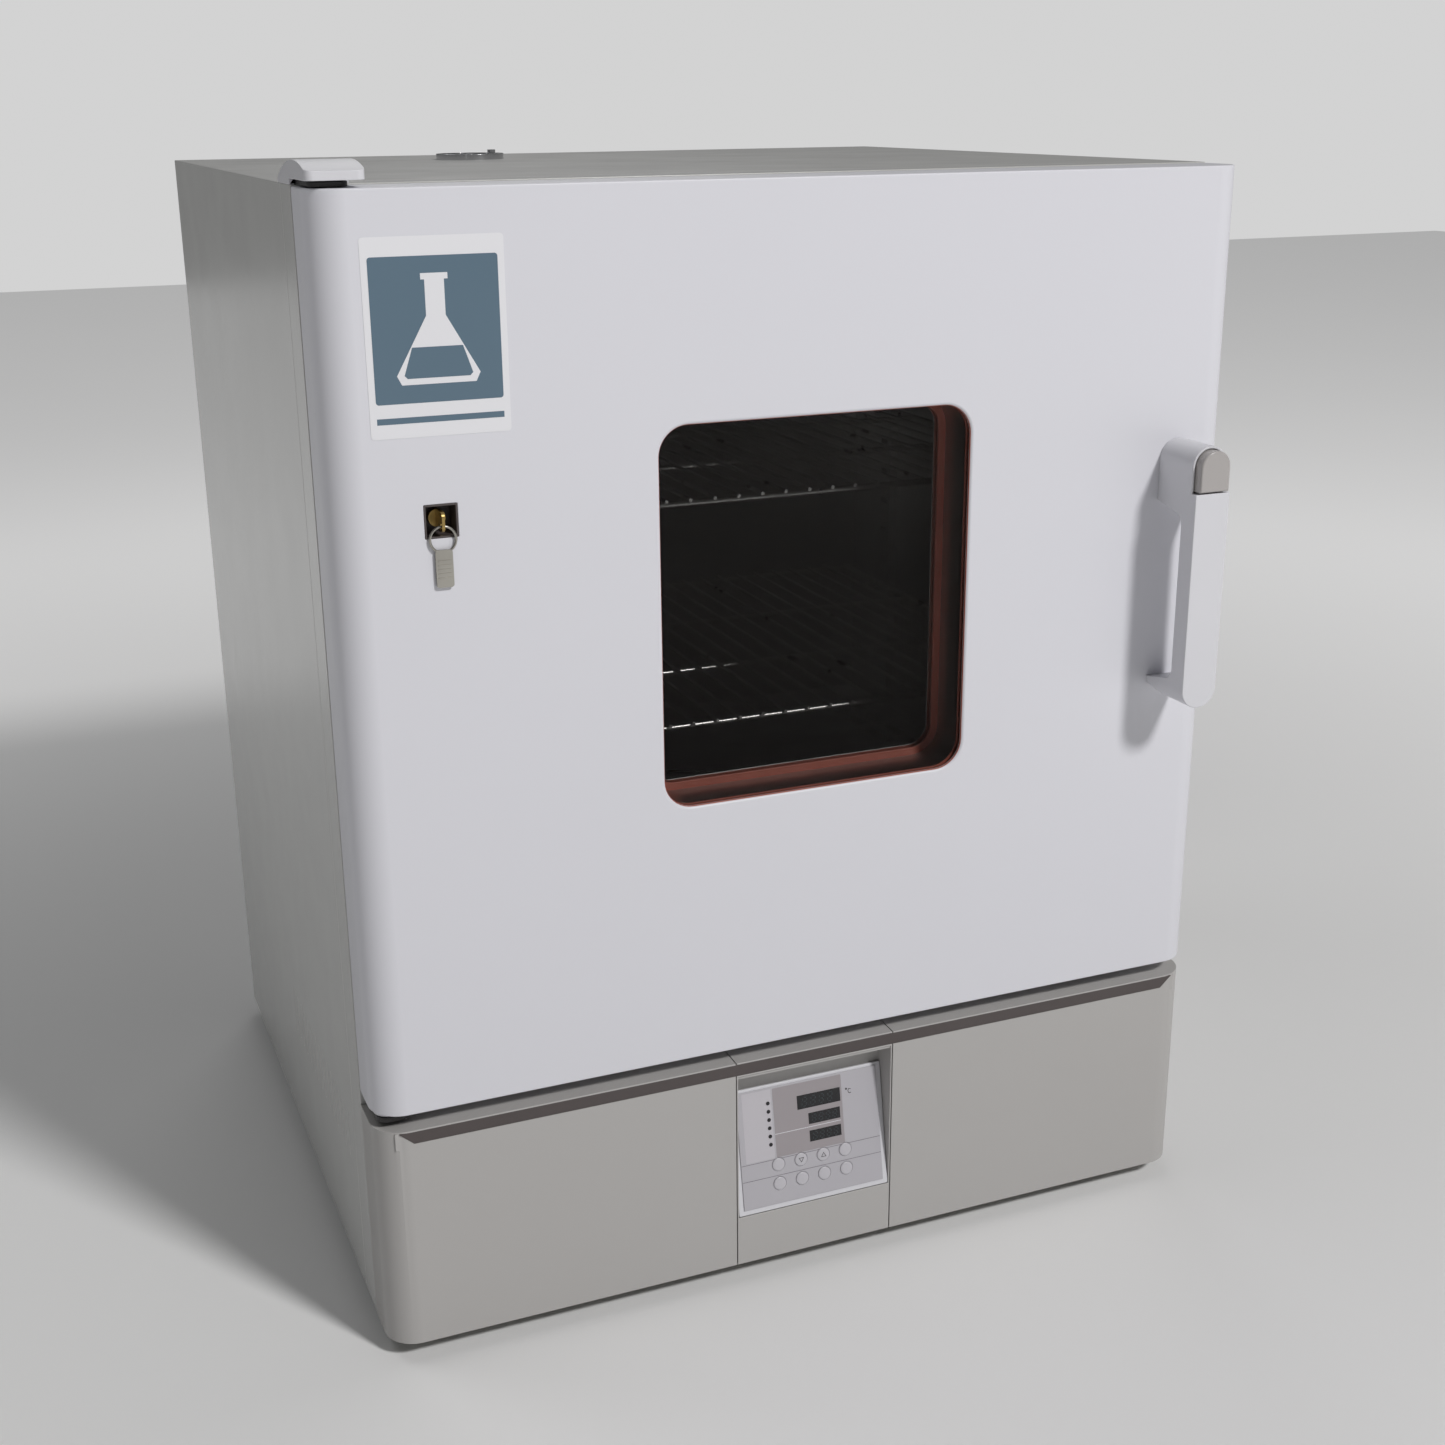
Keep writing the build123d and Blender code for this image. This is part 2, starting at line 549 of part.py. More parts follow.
def chamber_liner():
    """Five stainless sheets, seam-welded to a box that is open at the front."""
    half = CHAMBER_W / 2
    y = (Y_FRAME + SHEET, Y_REAR_WALL)
    floor = block(span(half + LINER_T), y, (Z_FLOOR - LINER_T, Z_FLOOR))
    floor -= Pos(0, FAN_Y, Z_FLOOR) * Cylinder(SHAFT_HOLE_R, 9)
    floor -= heater_lead_holes(LEAD_R + 1.5)
    ceiling = block(span(half + LINER_T), y, (Z_CEILING, Z_CEILING + LINER_T))
    ceiling -= Pos(VENT_X, VENT_AT, Z_CEILING) * Cylinder(DUCT_R + SEAT, 9)
    right = block((half, half + LINER_T), y, (Z_FLOOR, Z_CEILING))
    left = mirror(right, about=Plane.YZ)
    rear = block(span(half + LINER_T), (Y_REAR_WALL, Y_REAR_WALL + LINER_T),
                 (Z_FLOOR - LINER_T, Z_CEILING + LINER_T))
    return [floor, ceiling, right, left, rear - rear_wall_holes()]


def rear_wall_holes():
    holes = [(x, PROBE_Z, PROBE_R) for x in span(PROBE_X)] + [(INTAKE_X, INTAKE_Z, DUCT_R)]
    return [rod((x, Y_REAR_WALL - 5, z), (x, Y_BACK, z), radius + SEAT) for x, z, radius in holes]


def insulation_slabs():
    """Mineral-wool slabs: two sides, top, bottom and rear."""
    liner_half = CHAMBER_W / 2 + LINER_T
    y = (Y_FRAME + SHEET, Y_BACK - SHEET)
    z = (Z_DECK_TOP, Z_TOP - SHEET)
    left = block((-INNER_W, -liner_half), y, z) - lower_hinge_tail(SEAT)
    right = block((liner_half, INNER_W), y, z)
    right -= Pos(LATCH_X, 0, LATCH_Z) * block(span(KEEPER_W / 2 + 2), (Y_FRAME, KEEPER_BACK + 12), span(34))
    top = block(span(liner_half), y, (Z_CEILING + LINER_T, z[1]))
    top -= Pos(VENT_X, VENT_AT, Z_CEILING) * Cylinder(DUCT_R + SEAT, 3 * WALL_TOP)
    bottom = block(span(liner_half), y, (z[0], Z_FLOOR - LINER_T))
    bottom -= Pos(0, FAN_Y, Z_FLOOR) * Cylinder(SHAFT_HOLE_R, 3 * WALL_FLOOR)
    bottom -= heater_lead_holes(LEAD_R + 1.5)
    rear = block(span(liner_half), (Y_REAR_WALL + LINER_T, y[1]), (Z_FLOOR - LINER_T, Z_CEILING + LINER_T))
    return [left, right, top, bottom, rear - rear_wall_holes()]


def post_places():
    return [(side, y) for side in (-1, 1) for y in (Y_FRAME + POST_INSET, Y_REAR_WALL - POST_INSET)]


def slot_z(index):
    return Z_BAFFLE + SLOT_FIRST + index * SLOT_PITCH


def shelf_posts():
    """Slotted channels on the chamber's side walls."""
    post = block((POST_FACE, CHAMBER_W / 2), span(POST_W / 2), (POST_LOW, POST_HIGH))
    post -= block((POST_FACE + POST_WALL, CHAMBER_W / 2), span(POST_W / 2 - POST_WALL), (POST_LOW, POST_HIGH))
    slot = block((POST_FACE - 1, POST_FACE + POST_WALL + 1), span(SLOT_W / 2), span(SLOT_H / 2))
    post -= [Pos(0, 0, slot_z(i)) * slot for i in range(SLOT_COUNT)]
    return [Pos(0, y, 0) * (post if side > 0 else mirror(post, about=Plane.YZ)) for side, y in post_places()]


def shelf_brackets():
    """Clips hooked into the post slots, each with a lip that keeps the shelf from moving sideways."""
    end = POST_FACE - CLIP_L
    clip = block((end, POST_FACE + POST_WALL + CLIP_HOOK), span(CLIP_W / 2), span(CLIP_T / 2))
    clip += block((end, end + CLIP_LIP_T), span(CLIP_W / 2), (-CLIP_T / 2, CLIP_T / 2 + CLIP_LIP))
    clips = []
    for index in SHELF_SLOTS:
        for side, y in post_places():
            placed = Pos(0, y, slot_z(index)) * clip
            clips.append(placed if side > 0 else mirror(placed, about=Plane.YZ))
    return clips


def wire_shelf(index):
    """Side rods joined by cross bars, with the long wires welded on top of the bars."""
    z = slot_z(index) + CLIP_T / 2 + SEAT + SHELF_RIM_R
    y = SHELF_Y
    left, right = [rod((x, y[0], z), (x, y[1], z), SHELF_RIM_R) for x in span(RIM_X)]
    bars = [right]
    first, last = y[0] + 2 * SHELF_BAR_R, y[1] - 2 * SHELF_BAR_R
    for step in range(SHELF_BARS):
        bar_y = first + step * (last - first) / (SHELF_BARS - 1)
        bars.append(rod((-RIM_X, bar_y, z), (RIM_X, bar_y, z), SHELF_BAR_R))
    wire_z = z + SHELF_BAR_R + SHELF_WIRE_R - SHELF_WIRE_SINK
    frame = left + bars
    wires = int((RIM_X - SHELF_RIM_R - SHELF_WIRE_R) // SHELF_WIRE_PITCH)
    xs = [i * SHELF_WIRE_PITCH for i in range(-wires, wires + 1)]
    return frame + [rod((x, y[0] + SEAT, wire_z), (x, y[1] - SEAT, wire_z), SHELF_WIRE_R) for x in xs]


def floor_baffle():
    """Folded perforated plate over the fan plenum, standing on its front and rear flanges."""
    half = CHAMBER_W / 2 - SEAT
    y = (Y_FRAME + 1, Y_REAR_WALL - SEAT)
    baffle = block(span(half), y, (Z_BAFFLE - LINER_T, Z_BAFFLE))
    baffle += block(span(half), (y[0], y[0] + LINER_T), (Z_FLOOR, Z_BAFFLE))
    baffle += block(span(half), (y[1] - LINER_T, y[1]), (Z_FLOOR, Z_BAFFLE))
    intake = Pos(0, 0, Z_FLOOR + INTAKE_RISE) * block(span(DUCT_R), (y[1] - 3, y[1] + 3), span(DUCT_R))
    baffle -= Pos(INTAKE_X, 0, 0) * intake
    baffle -= Pos(0, FAN_Y, Z_BAFFLE) * Cylinder(FAN_EYE_R, 9)
    outlet = block(span(OUTLET_W / 2), span(OUTLET_L / 2), (Z_BAFFLE - 3, Z_BAFFLE + 3))
    rows = int((CHAMBER_D - 2 * OUTLET_MARGIN) // OUTLET_PITCH)
    ys = [FAN_Y + (i - (rows - 1) / 2) * OUTLET_PITCH for i in range(rows)]
    xs = [side * (CHAMBER_W / 2 - inset) for side in (-1, 1) for inset in OUTLET_INSETS]
    return baffle - [Pos(x, y, 0) * outlet for x in xs for y in ys]


def heater_elements():
    """Sheathed heaters, each bent to an open ring whose ends turn down through the floor."""
    rings = []
    for clear, rise, gap in HEATER_RINGS:
        radius = FAN_R + clear
        z = Z_FLOOR + rise
        half_gap = math.degrees(math.asin(gap / radius))
        path = Edge.make_circle(radius, start_angle=90 + half_gap, end_angle=450 - half_gap)
        ring = sweep(Plane(path @ 0, z_dir=path % 0) * Circle(HEATER_R), path=path)
        ring = Pos(0, FAN_Y, z) * ring
        y = FAN_Y + math.sqrt(radius ** 2 - gap ** 2)
        for x in span(gap):
            ring += rod((x, y, Z_DECK - HEATER_LEAD), (x, y, z + LEAD_R), LEAD_R)
        rings.append(ring)
    return rings


# ---------------------------------------------------------------- fan and motor
def fan_wheel():
    """Blower wheel: back plate, curved-back blades, shroud ring and hub."""
    at = Pos(0, FAN_Y, Z_FLOOR + FAN_RISE)
    wheel = at * Pos(0, 0, FAN_PLATE / 2) * Cylinder(FAN_R, FAN_PLATE)
    shroud = Cylinder(FAN_R, FAN_PLATE) - Cylinder(FAN_R - FAN_BLADE_L, 2 * FAN_PLATE)
    wheel += at * Pos(0, 0, FAN_H - FAN_PLATE / 2) * shroud
    wheel += at * Pos(0, 0, FAN_HUB_H / 2) * Cylinder(FAN_HUB_R, FAN_HUB_H)
    blade = block((0, FAN_BLADE_L), span(FAN_PLATE / 2), (FAN_PLATE / 2, FAN_H - FAN_PLATE / 2))
    blade = Pos(FAN_R - FAN_BLADE_L + 2, -4, 0) * Rot(0, 0, FAN_BLADE_TURN) * blade
    for i in range(FAN_BLADES):
        wheel += at * Rot(0, 0, 360 * i / FAN_BLADES) * blade
    return wheel - at * Pos(0, 0, FAN_HUB_H / 2) * Cylinder(SHAFT_R, 2 * FAN_HUB_H)


def fan_shaft():
    """Motor shaft with the nut that holds the wheel on it."""
    hub_top = Z_FLOOR + FAN_RISE + FAN_HUB_H
    shaft = rod((0, FAN_Y, Z_DECK - MOTOR_H + MOTOR_SOCKET), (0, FAN_Y, hub_top + NUT_H + 1), SHAFT_R)
    return shaft + rod((0, FAN_Y, hub_top), (0, FAN_Y, hub_top + NUT_H), NUT_R)


def fan_motor():
    can = Pos(0, FAN_Y, Z_DECK - MOTOR_FLANGE_T - MOTOR_H / 2) * Cylinder(MOTOR_R, MOTOR_H)
    can = fillet(can.edges().group_by(Axis.Z)[0], 4)
    edge = span(MOTOR_FLANGE / 2)
    flange = Pos(0, FAN_Y, 0) * block(edge, edge, (Z_DECK - MOTOR_FLANGE_T, Z_DECK))
    motor = can + fillet(flange.edges().filter_by(Axis.Z), 8)
    socket = Z_DECK - MOTOR_H + MOTOR_SOCKET - 2
    return motor - rod((0, FAN_Y, socket), (0, FAN_Y, Z_DECK + 1), SHAFT_R + RUNNING)


# ---------------------------------------------------------------- ports, probes and electrics
def exhaust_port():
    """Collar on the roof with a drilled floor, a tube through the wall and the damper's pin."""
    port = Pos(0, 0, VENT_H / 2) * (Cylinder(VENT_R, VENT_H) - Cylinder(VENT_R - VENT_WALL, 2 * VENT_H))
    port += Pos(0, 0, VENT_FLOOR / 2) * Cylinder(VENT_R - VENT_WALL / 2, VENT_FLOOR)
    port += rod((0, 0, Z_CEILING - Z_TOP), (0, 0, VENT_FLOOR / 2), DUCT_R)
    port -= rod((0, 0, Z_CEILING - Z_TOP - 1), (0, 0, 0), DUCT_R - DUCT_WALL)
    port -= [Pos(x, 0, 0) * Cylinder(VENT_HOLE_R, 9) for x in span(VENT_HOLE_X)]
    head = VENT_FLOOR + 2 * SEAT + DAMPER_T
    port += rod((0, 0, 0), (0, 0, head + DAMPER_HEAD / 2), DAMPER_PIN_R)
    port += rod((0, 0, head), (0, 0, head + DAMPER_HEAD), 2 * DAMPER_PIN_R)
    return Pos(VENT_X, VENT_AT, Z_TOP) * port


def intake_port():
    port = rod((0, Y_BACK, 0), (0, Y_BACK + INTAKE_COLLAR_T, 0), INTAKE_COLLAR_R)
    port += rod((0, Y_REAR_WALL, 0), (0, Y_BACK + 2, 0), DUCT_R)
    port -= rod((0, Y_REAR_WALL - 1, 0), (0, Y_BACK + 9, 0), DUCT_R - DUCT_WALL)
    return Pos(INTAKE_X, 0, INTAKE_Z) * port


def vent_damper():
    """Drilled disc with a knob; a quarter turn shuts the port's holes."""
    low = VENT_FLOOR + SEAT
    disc = rod((0, 0, low), (0, 0, low + DAMPER_T), VENT_R - VENT_WALL - SEAT)
    disc -= [Pos(x, 0, low) * Cylinder(VENT_HOLE_R, 9) for x in span(VENT_HOLE_X)]
    disc += rod((DAMPER_KNOB_X, 0, low), (DAMPER_KNOB_X, 0, VENT_H + DAMPER_KNOB_H), DAMPER_KNOB_R)
    disc -= rod((0, 0, low - 1), (0, 0, low + 9), DAMPER_PIN_R + RUNNING)
    return Pos(VENT_X, VENT_AT, Z_TOP) * disc


def sensor_probes():
    y = (Y_REAR_WALL - PROBE_REACH, Y_BACK - SHEET - PROBE_TAIL)
    return [rod((x, y[0], PROBE_Z), (x, y[1], PROBE_Z), PROBE_R) for x in span(PROBE_X)]


def breaker():
    """Main breaker let into the right side panel, with a pocket for its toggle."""
    y, z = breaker_place()
    body = block((HALF_W - BREAKER_D, INNER_W), (y[0] - BREAKER_RIM, y[1] + BREAKER_RIM),
                 (z[0] - BREAKER_RIM, z[1] + BREAKER_RIM))
    body += block((INNER_W - 1, HALF_W - BREAKER_SHY), y, z)
    depth = (HALF_W - TOGGLE_IN - TOGGLE_POCKET, HALF_W + 1)
    pocket = block(depth, span(TOGGLE_HALF_W), span(TOGGLE_HALF_H))
    return body - Pos(0, sum(y) / 2, sum(z) / 2) * pocket


def breaker_toggle():
    """Toggle lever on a cross pin; it stands up for on and swings down for off."""
    y, z = breaker_place()
    lever = rod((0, SEAT - TOGGLE_HALF_W, 0), (0, TOGGLE_HALF_W - SEAT, 0), TOGGLE_R)
    lever += Rot(0, -25, 0) * block((0, TOGGLE_L), span(TOGGLE_W / 2), span(TOGGLE_T / 2))
    return Pos(HALF_W - TOGGLE_IN, sum(y) / 2, sum(z) / 2) * lever


def cable_gland():
    gland = rod((0, 0, 0), (0, GLAND_OUT, 0), GLAND_R) + rod((0, -GLAND_IN, 0), (0, 1, 0), GLAND_NECK_R)
    gland -= rod((0, -GLAND_IN - 1, 0), (0, GLAND_OUT + 1, 0), GLAND_BORE_R)
    return Pos(GLAND_X, Y_BACK, GLAND_Z) * gland


def terminal_block():
    """Supply terminals and the heater relay on its heat sink, standing on the base plate."""
    low = Z_BASE + SHEET
    width, depth, height = TERMINALS
    back = Y_BACK - TERMINALS_BACK
    terminals = Pos(GLAND_X, 0, 0) * block(span(width / 2), (back - depth, back), (low, low + height))
    width, depth, height = RELAY
    back = Y_BACK - RELAY_BACK
    left = GLAND_X - RELAY_SHIFT - width / 2
    relay = block((left, left + width), (back - depth, back), (low, low + height))
    fins = int(width // FIN_PITCH)
    gap = block((FIN_PITCH - FIN_GAP, FIN_PITCH), (back - depth - 5, back - depth + FIN_DEPTH - 5),
                (low + FIN_ROOT, low + height + 1))
    return [terminals, relay - [Pos(left + i * FIN_PITCH, 0, 0) * gap for i in range(fins)]]


# ---------------------------------------------------------------- hinge and latch
def lower_hinge_tail(grow):
    """Part of the lower hinge plate that passes through the front frame."""
    x = (HINGE_X - HINGE_OUT - grow, HINGE_X + HINGE_IN + grow)
    z = (LOWER_PLATE_TOP - HINGE_PLATE_T - grow, LOWER_PLATE_TOP + grow)
    return block(x, (Y_FRAME - 1, Y_FRAME + HINGE_TAIL + grow), z)


def hinge_plate(y_back, z):
    plate = block((HINGE_X - HINGE_OUT, HINGE_X + HINGE_IN), (HINGE_Y - HINGE_FRONT, y_back), z)
    return fillet(plate.edges().filter_by(Axis.Z).group_by(Axis.Y)[0], HINGE_CORNER_R)


def hinge_brackets():
    """Upper plate over the door and lower plate under it, each with its fixed pin."""
    upper = hinge_plate(Y_FRAME + HINGE_TAIL_TOP, (Z_TOP, Z_TOP + HINGE_PLATE_TOP_T))
    upper += rod((HINGE_X, HINGE_Y, Z_DOOR_TOP - PIN_L), (HINGE_X, HINGE_Y, Z_TOP + 1), PIN_R)
    lower = hinge_plate(Y_FRAME + HINGE_TAIL, (LOWER_PLATE_TOP - HINGE_PLATE_T, LOWER_PLATE_TOP))
    lower += rod((HINGE_X, HINGE_Y, LOWER_PLATE_TOP - 1), (HINGE_X, HINGE_Y, Z_DOOR + PIN_L), PIN_R)
    return [upper, lower]


def hinge_bushes():
    upper = rod((HINGE_X, HINGE_Y, Z_DOOR_TOP - BUSH_L), (HINGE_X, HINGE_Y, Z_DOOR_TOP), BUSH_R)
    lower = rod((HINGE_X, HINGE_Y, Z_DOOR), (HINGE_X, HINGE_Y, Z_DOOR + BUSH_L), BUSH_R)
    lower += rod((HINGE_X, HINGE_Y, Z_DOOR - BUSH_COLLAR_T), (HINGE_X, HINGE_Y, Z_DOOR), BUSH_R + BUSH_COLLAR)
    bore = rod((HINGE_X, HINGE_Y, Z_DOOR - 9), (HINGE_X, HINGE_Y, Z_TOP + 9), PIN_R + RUNNING)
    return [upper - bore, lower - bore]


def hinge_cover():
    """Arched moulded cap; it stands on the front frame and reaches over the door's corner."""
    low = Z_TOP + HINGE_PLATE_TOP_T + 1
    back = Y_FRAME + COVER_BACK
    lip = low + COVER_LIP
    rear = Z_TOP + COVER_REAR_H
    profile = Polyline((Y_DOOR, low), (Y_DOOR, lip))
    profile += ThreePointArc((Y_DOOR, lip), (Y_DOOR + COVER_CREST, Z_TOP + COVER_H), (back, rear))
    profile += Polyline((back, rear), (back, Z_TOP), (Y_FRAME + 1, Z_TOP), (Y_FRAME + 1, low), (Y_DOOR, low))
    cap = Pos(-HALF_W, 0, 0) * extrude(Plane.YZ * make_face(profile), COVER_W)
    corners = cap.edges().filter_by(Axis.Z).group_by(Axis.Y)[0]
    cap = fillet(corners, COVER_CORNER_R)
    inside = block((HINGE_X - HINGE_OUT - SEAT, HINGE_X + HINGE_IN + SEAT),
                   (HINGE_Y - HINGE_FRONT - SEAT, Y_FRAME + HINGE_TAIL_TOP + SEAT),
                   (Z_TOP - 1, Z_TOP + HINGE_PLATE_TOP_T + SEAT))
    return cap - inside


def latch_slot(half, y_front, y_back):
    """Room for the hook's arm and nose, with the lift above them."""
    low = LATCH_Z - KEEPER_T + LATCH_PLAY
    return block((LATCH_X - half, LATCH_X + half), (y_front, y_back), (low, LATCH_Z + LATCH_SLOT_H + 2))


def latch_keeper():
    z = (LATCH_Z - LATCH_DROP - 2 * KEEPER_EDGE, LATCH_Z + LATCH_SLOT_H + KEEPER_EDGE + 2)
    plate = block((LATCH_X - KEEPER_W / 2, LATCH_X + KEEPER_W / 2), (Y_FRAME + SHEET, KEEPER_BACK), z)
    return plate - latch_slot(LATCH_T, Y_FRAME, KEEPER_BACK + 1)


def latch_hook():
    """Flat hook that drops behind the keeper; it lifts when the thumb button is pressed."""
    x = (LATCH_X - LATCH_T / 2, LATCH_X + LATCH_T / 2)
    front = Y_DOOR + LATCH_INSIDE
    nose = KEEPER_BACK + LATCH_PLAY
    hook = block(x, (front, nose + LATCH_T), (LATCH_Z, LATCH_Z + LATCH_H))
    hook += block(x, (nose, nose + LATCH_T), (LATCH_Z - LATCH_DROP, LATCH_Z + LATCH_H))
    return hook + block(x, (front, front + 2 * LATCH_T), (LATCH_Z - LATCH_H, LATCH_Z + LATCH_H))


# ---------------------------------------------------------------- door
def seal_outline(grow, y, thickness):
    return upright_plate(WINDOW_W + 2 * grow, WINDOW_H + 2 * grow, WINDOW_R + grow, y, thickness, Z_WINDOW)


def door_shell():
    shell = front_rounded(HALF_W, (Y_DOOR, Y_DOOR_BACK), (Z_DOOR, Z_DOOR_TOP), CORNER_R)
    shell -= front_rounded(INNER_W, (Y_DOOR + SHEET, Y_DOOR_BACK + 1), (Z_DOOR + SHEET, Z_DOOR_TOP - SHEET),
                           CORNER_R - SHEET)
    shell -= seal_outline(0, Y_DOOR - 1, 4)
    shell -= keyswitch_place(KEYSWITCH_W / 2 + SEAT / 2, Y_DOOR - 1, Y_DOOR + SHEET + 1)
    return shell - rod((HINGE_X, HINGE_Y, Z_DOOR - 9), (HINGE_X, HINGE_Y, Z_TOP), BUSH_R)


def door_liner():
    liner = block(span(INNER_W), (Y_LINER, Y_DOOR_BACK), (Z_DOOR + SHEET, Z_DOOR_TOP - SHEET))
    liner -= seal_outline(-SEAL_LIP, Y_LINER - 1, LINER_T + 2)
    return liner - latch_slot(LATCH_T / 2 + LATCH_PLAY, Y_LINER - 1, Y_DOOR_BACK + 1)


def door_insulation():
    """Mineral-wool pad that fills the door round the window, the lock and the latch."""
    height = (Z_DOOR + SHEET, Z_DOOR_TOP - SHEET)
    pad = front_rounded(INNER_W, (Y_DOOR + SHEET, Y_LINER), height, CORNER_R - SHEET)
    pad -= seal_outline(SEAL_OUT, Y_DOOR, DOOR_T + 2)
    pad -= keyswitch_place(KEYSWITCH_W / 2 + SEAT, Y_DOOR, Y_DOOR + KEYSWITCH_D + SEAT)
    pad -= barrel_bore(BARREL_R + BARREL_FLANGE + SEAT)
    depth = (Y_DOOR + LATCH_INSIDE - 6, Y_DOOR_BACK)
    pad -= Pos(LATCH_X, 0, LATCH_Z) * block(span(LATCH_T / 2 + 4), depth, (-LATCH_H - 6, LATCH_SLOT_H + 6))
    for low, high in ((Z_DOOR, Z_DOOR + BUSH_L + 4), (Z_DOOR_TOP - BUSH_L - 4, Z_DOOR_TOP)):
        pad -= rod((HINGE_X, HINGE_Y, low), (HINGE_X, HINGE_Y, high), BUSH_R + SEAT)
    return pad


def window_panes():
    return [seal_outline(PANE_EDGE, y, PANE_T) for y in (FRONT_PANE, REAR_PANE)]


def window_seal():
    """Silicone channels round the edges of the two panes."""
    seals = []
    for y, lip in ((FRONT_PANE, 0), (REAR_PANE, SEAL_LIP)):
        seal = seal_outline(SEAL_OUT, y - SEAL_T, PANE_T + 2 * SEAL_T)
        seal -= seal_outline(PANE_EDGE, y, PANE_T)
        seals.append(seal - seal_outline(-lip, y - 9, 30))
    return seals


def window_frame():
    """Steel tunnel between the two panes."""
    y = FRONT_PANE + PANE_T + SEAL_T
    length = REAR_PANE - SEAL_T - y
    tunnel = seal_outline(FRAME_WALL + 1, y, length)
    return tunnel - seal_outline(1, y - 1, length + 2)


def door_gasket():
    half = CHAMBER_W / 2 + GASKET_OUT
    height = Z_CEILING - Z_FLOOR + 2 * GASKET_OUT
    middle = (Z_CEILING + Z_FLOOR) / 2
    depth = DOOR_GAP - SEAT
    ring = upright_plate(2 * (half + GASKET_W), height + 2 * GASKET_W, 20, Y_DOOR_BACK, depth, middle)
    return ring - upright_plate(2 * half, height, 10, Y_DOOR_BACK - 1, depth + 2, middle)


def handle_outline(inset, y_front, y_back):
    """The handle's front view, a bar with round ends, as a solid between two depths."""
    width = HANDLE_W - 2 * inset
    outline = Plane.XZ * RectangleRounded(width, HANDLE_H - 2 * inset, width / 2 - 0.2)
    return Pos(HANDLE_X, y_back, Z_WINDOW) * extrude(outline, y_back - y_front)


def handle_profile():
    """The handle's side view: grip and two feet, the lower one swept up towards the door."""
    front = Y_DOOR - HANDLE_OUT
    grip_back = front + HANDLE_GRIP
    bend = HANDLE_BEND
    top_foot = HANDLE_TOP - HANDLE_TOP_FOOT
    low_foot = HANDLE_LOW + HANDLE_LOW_FOOT
    bow = (1 - math.sqrt(0.5)) * bend
    middle = (grip_back + Y_DOOR) / 2
    under = (Y_DOOR, HANDLE_LOW + HANDLE_SWEEP)
    profile = Polyline(under, (Y_DOOR, low_foot - HANDLE_TAPER), (grip_back + bend, low_foot))
    profile += ThreePointArc((grip_back + bend, low_foot), (grip_back + bow, low_foot + bow),
                             (grip_back, low_foot + bend))
    profile += Line((grip_back, low_foot + bend), (grip_back, top_foot - bend))
    profile += ThreePointArc((grip_back, top_foot - bend), (grip_back + bow, top_foot - bow),
                             (grip_back + bend, top_foot))
    profile += Polyline((grip_back + bend, top_foot), (Y_DOOR, top_foot + HANDLE_TAPER), (Y_DOOR, HANDLE_TOP))
    profile += Polyline((Y_DOOR, HANDLE_TOP), (front, HANDLE_TOP), (front, HANDLE_LOW), (grip_back, HANDLE_LOW))
    profile += ThreePointArc((grip_back, HANDLE_LOW), (middle, HANDLE_LOW + 0.3 * HANDLE_SWEEP), under)
    return Pos(HANDLE_X - HANDLE_W, 0, 0) * extrude(Plane.YZ * make_face(profile), 2 * HANDLE_W)


def handle_body():
    """White grip with its two feet, and a collar and pocket at its upper end for the thumb button."""
    front = Y_DOOR - HANDLE_OUT
    body = handle_outline(0, front, Y_DOOR) & handle_profile()
    across = (HANDLE_X - HANDLE_W, HANDLE_X + HANDLE_W)
    low = HANDLE_TOP - BUTTON_H - BUTTON_GAP
    collar = Y_DOOR - BUTTON_OUT + BUTTON_CUT
    body -= block(across, (front - 1, collar), (low, HANDLE_TOP + 1))
    pocket = handle_outline(BUTTON_INSET - 2 * SEAT, collar - 1, BUTTON_BACK + BUTTON_TRAVEL + 1)
    body -= pocket & block(across, (collar - 1, Y_DOOR), (low, HANDLE_TOP))
    return body - rod((HANDLE_X, front, STEM_Z), (HANDLE_X, Y_DOOR - 4, STEM_Z), BUTTON_STEM_R + RUNNING)


def handle_button():
    button = handle_outline(BUTTON_INSET, Y_DOOR - BUTTON_OUT, BUTTON_BACK)
    button &= block((HANDLE_X - HANDLE_W, HANDLE_X + HANDLE_W), (Y_DOOR - BUTTON_OUT, BUTTON_BACK),
                    (HANDLE_TOP - BUTTON_H, HANDLE_TOP))
    button = fillet(button.edges().group_by(Axis.Y)[0], 1.5)
    end = Y_DOOR - BUTTON_STEM_END
    return button + rod((HANDLE_X, BUTTON_BACK - 1, STEM_Z), (HANDLE_X, end, STEM_Z), BUTTON_STEM_R)


def keyswitch_place(half, y_front, y_back):
    return block((KEYSWITCH_X - half, KEYSWITCH_X + half), (y_front, y_back),
                 (KEYSWITCH_Z - half, KEYSWITCH_Z + half))


def barrel_bore(radius):
    return Pos(KEYSWITCH_X, Y_DOOR, KEYSWITCH_Z) * rod((0, 0, 0), (0, BARREL_END + 2, 0), radius)


def key_switch():
    """Square cup let into the door; its floor carries the lock barrel."""
    cup = keyswitch_place(KEYSWITCH_W / 2, Y_DOOR, Y_DOOR + KEYSWITCH_D)
    cup -= keyswitch_place(KEYSWITCH_W / 2 - KEYSWITCH_WALL, Y_DOOR - 1, Y_DOOR + KEYSWITCH_D - 2)
    return cup - barrel_bore(BARREL_R + RUNNING)


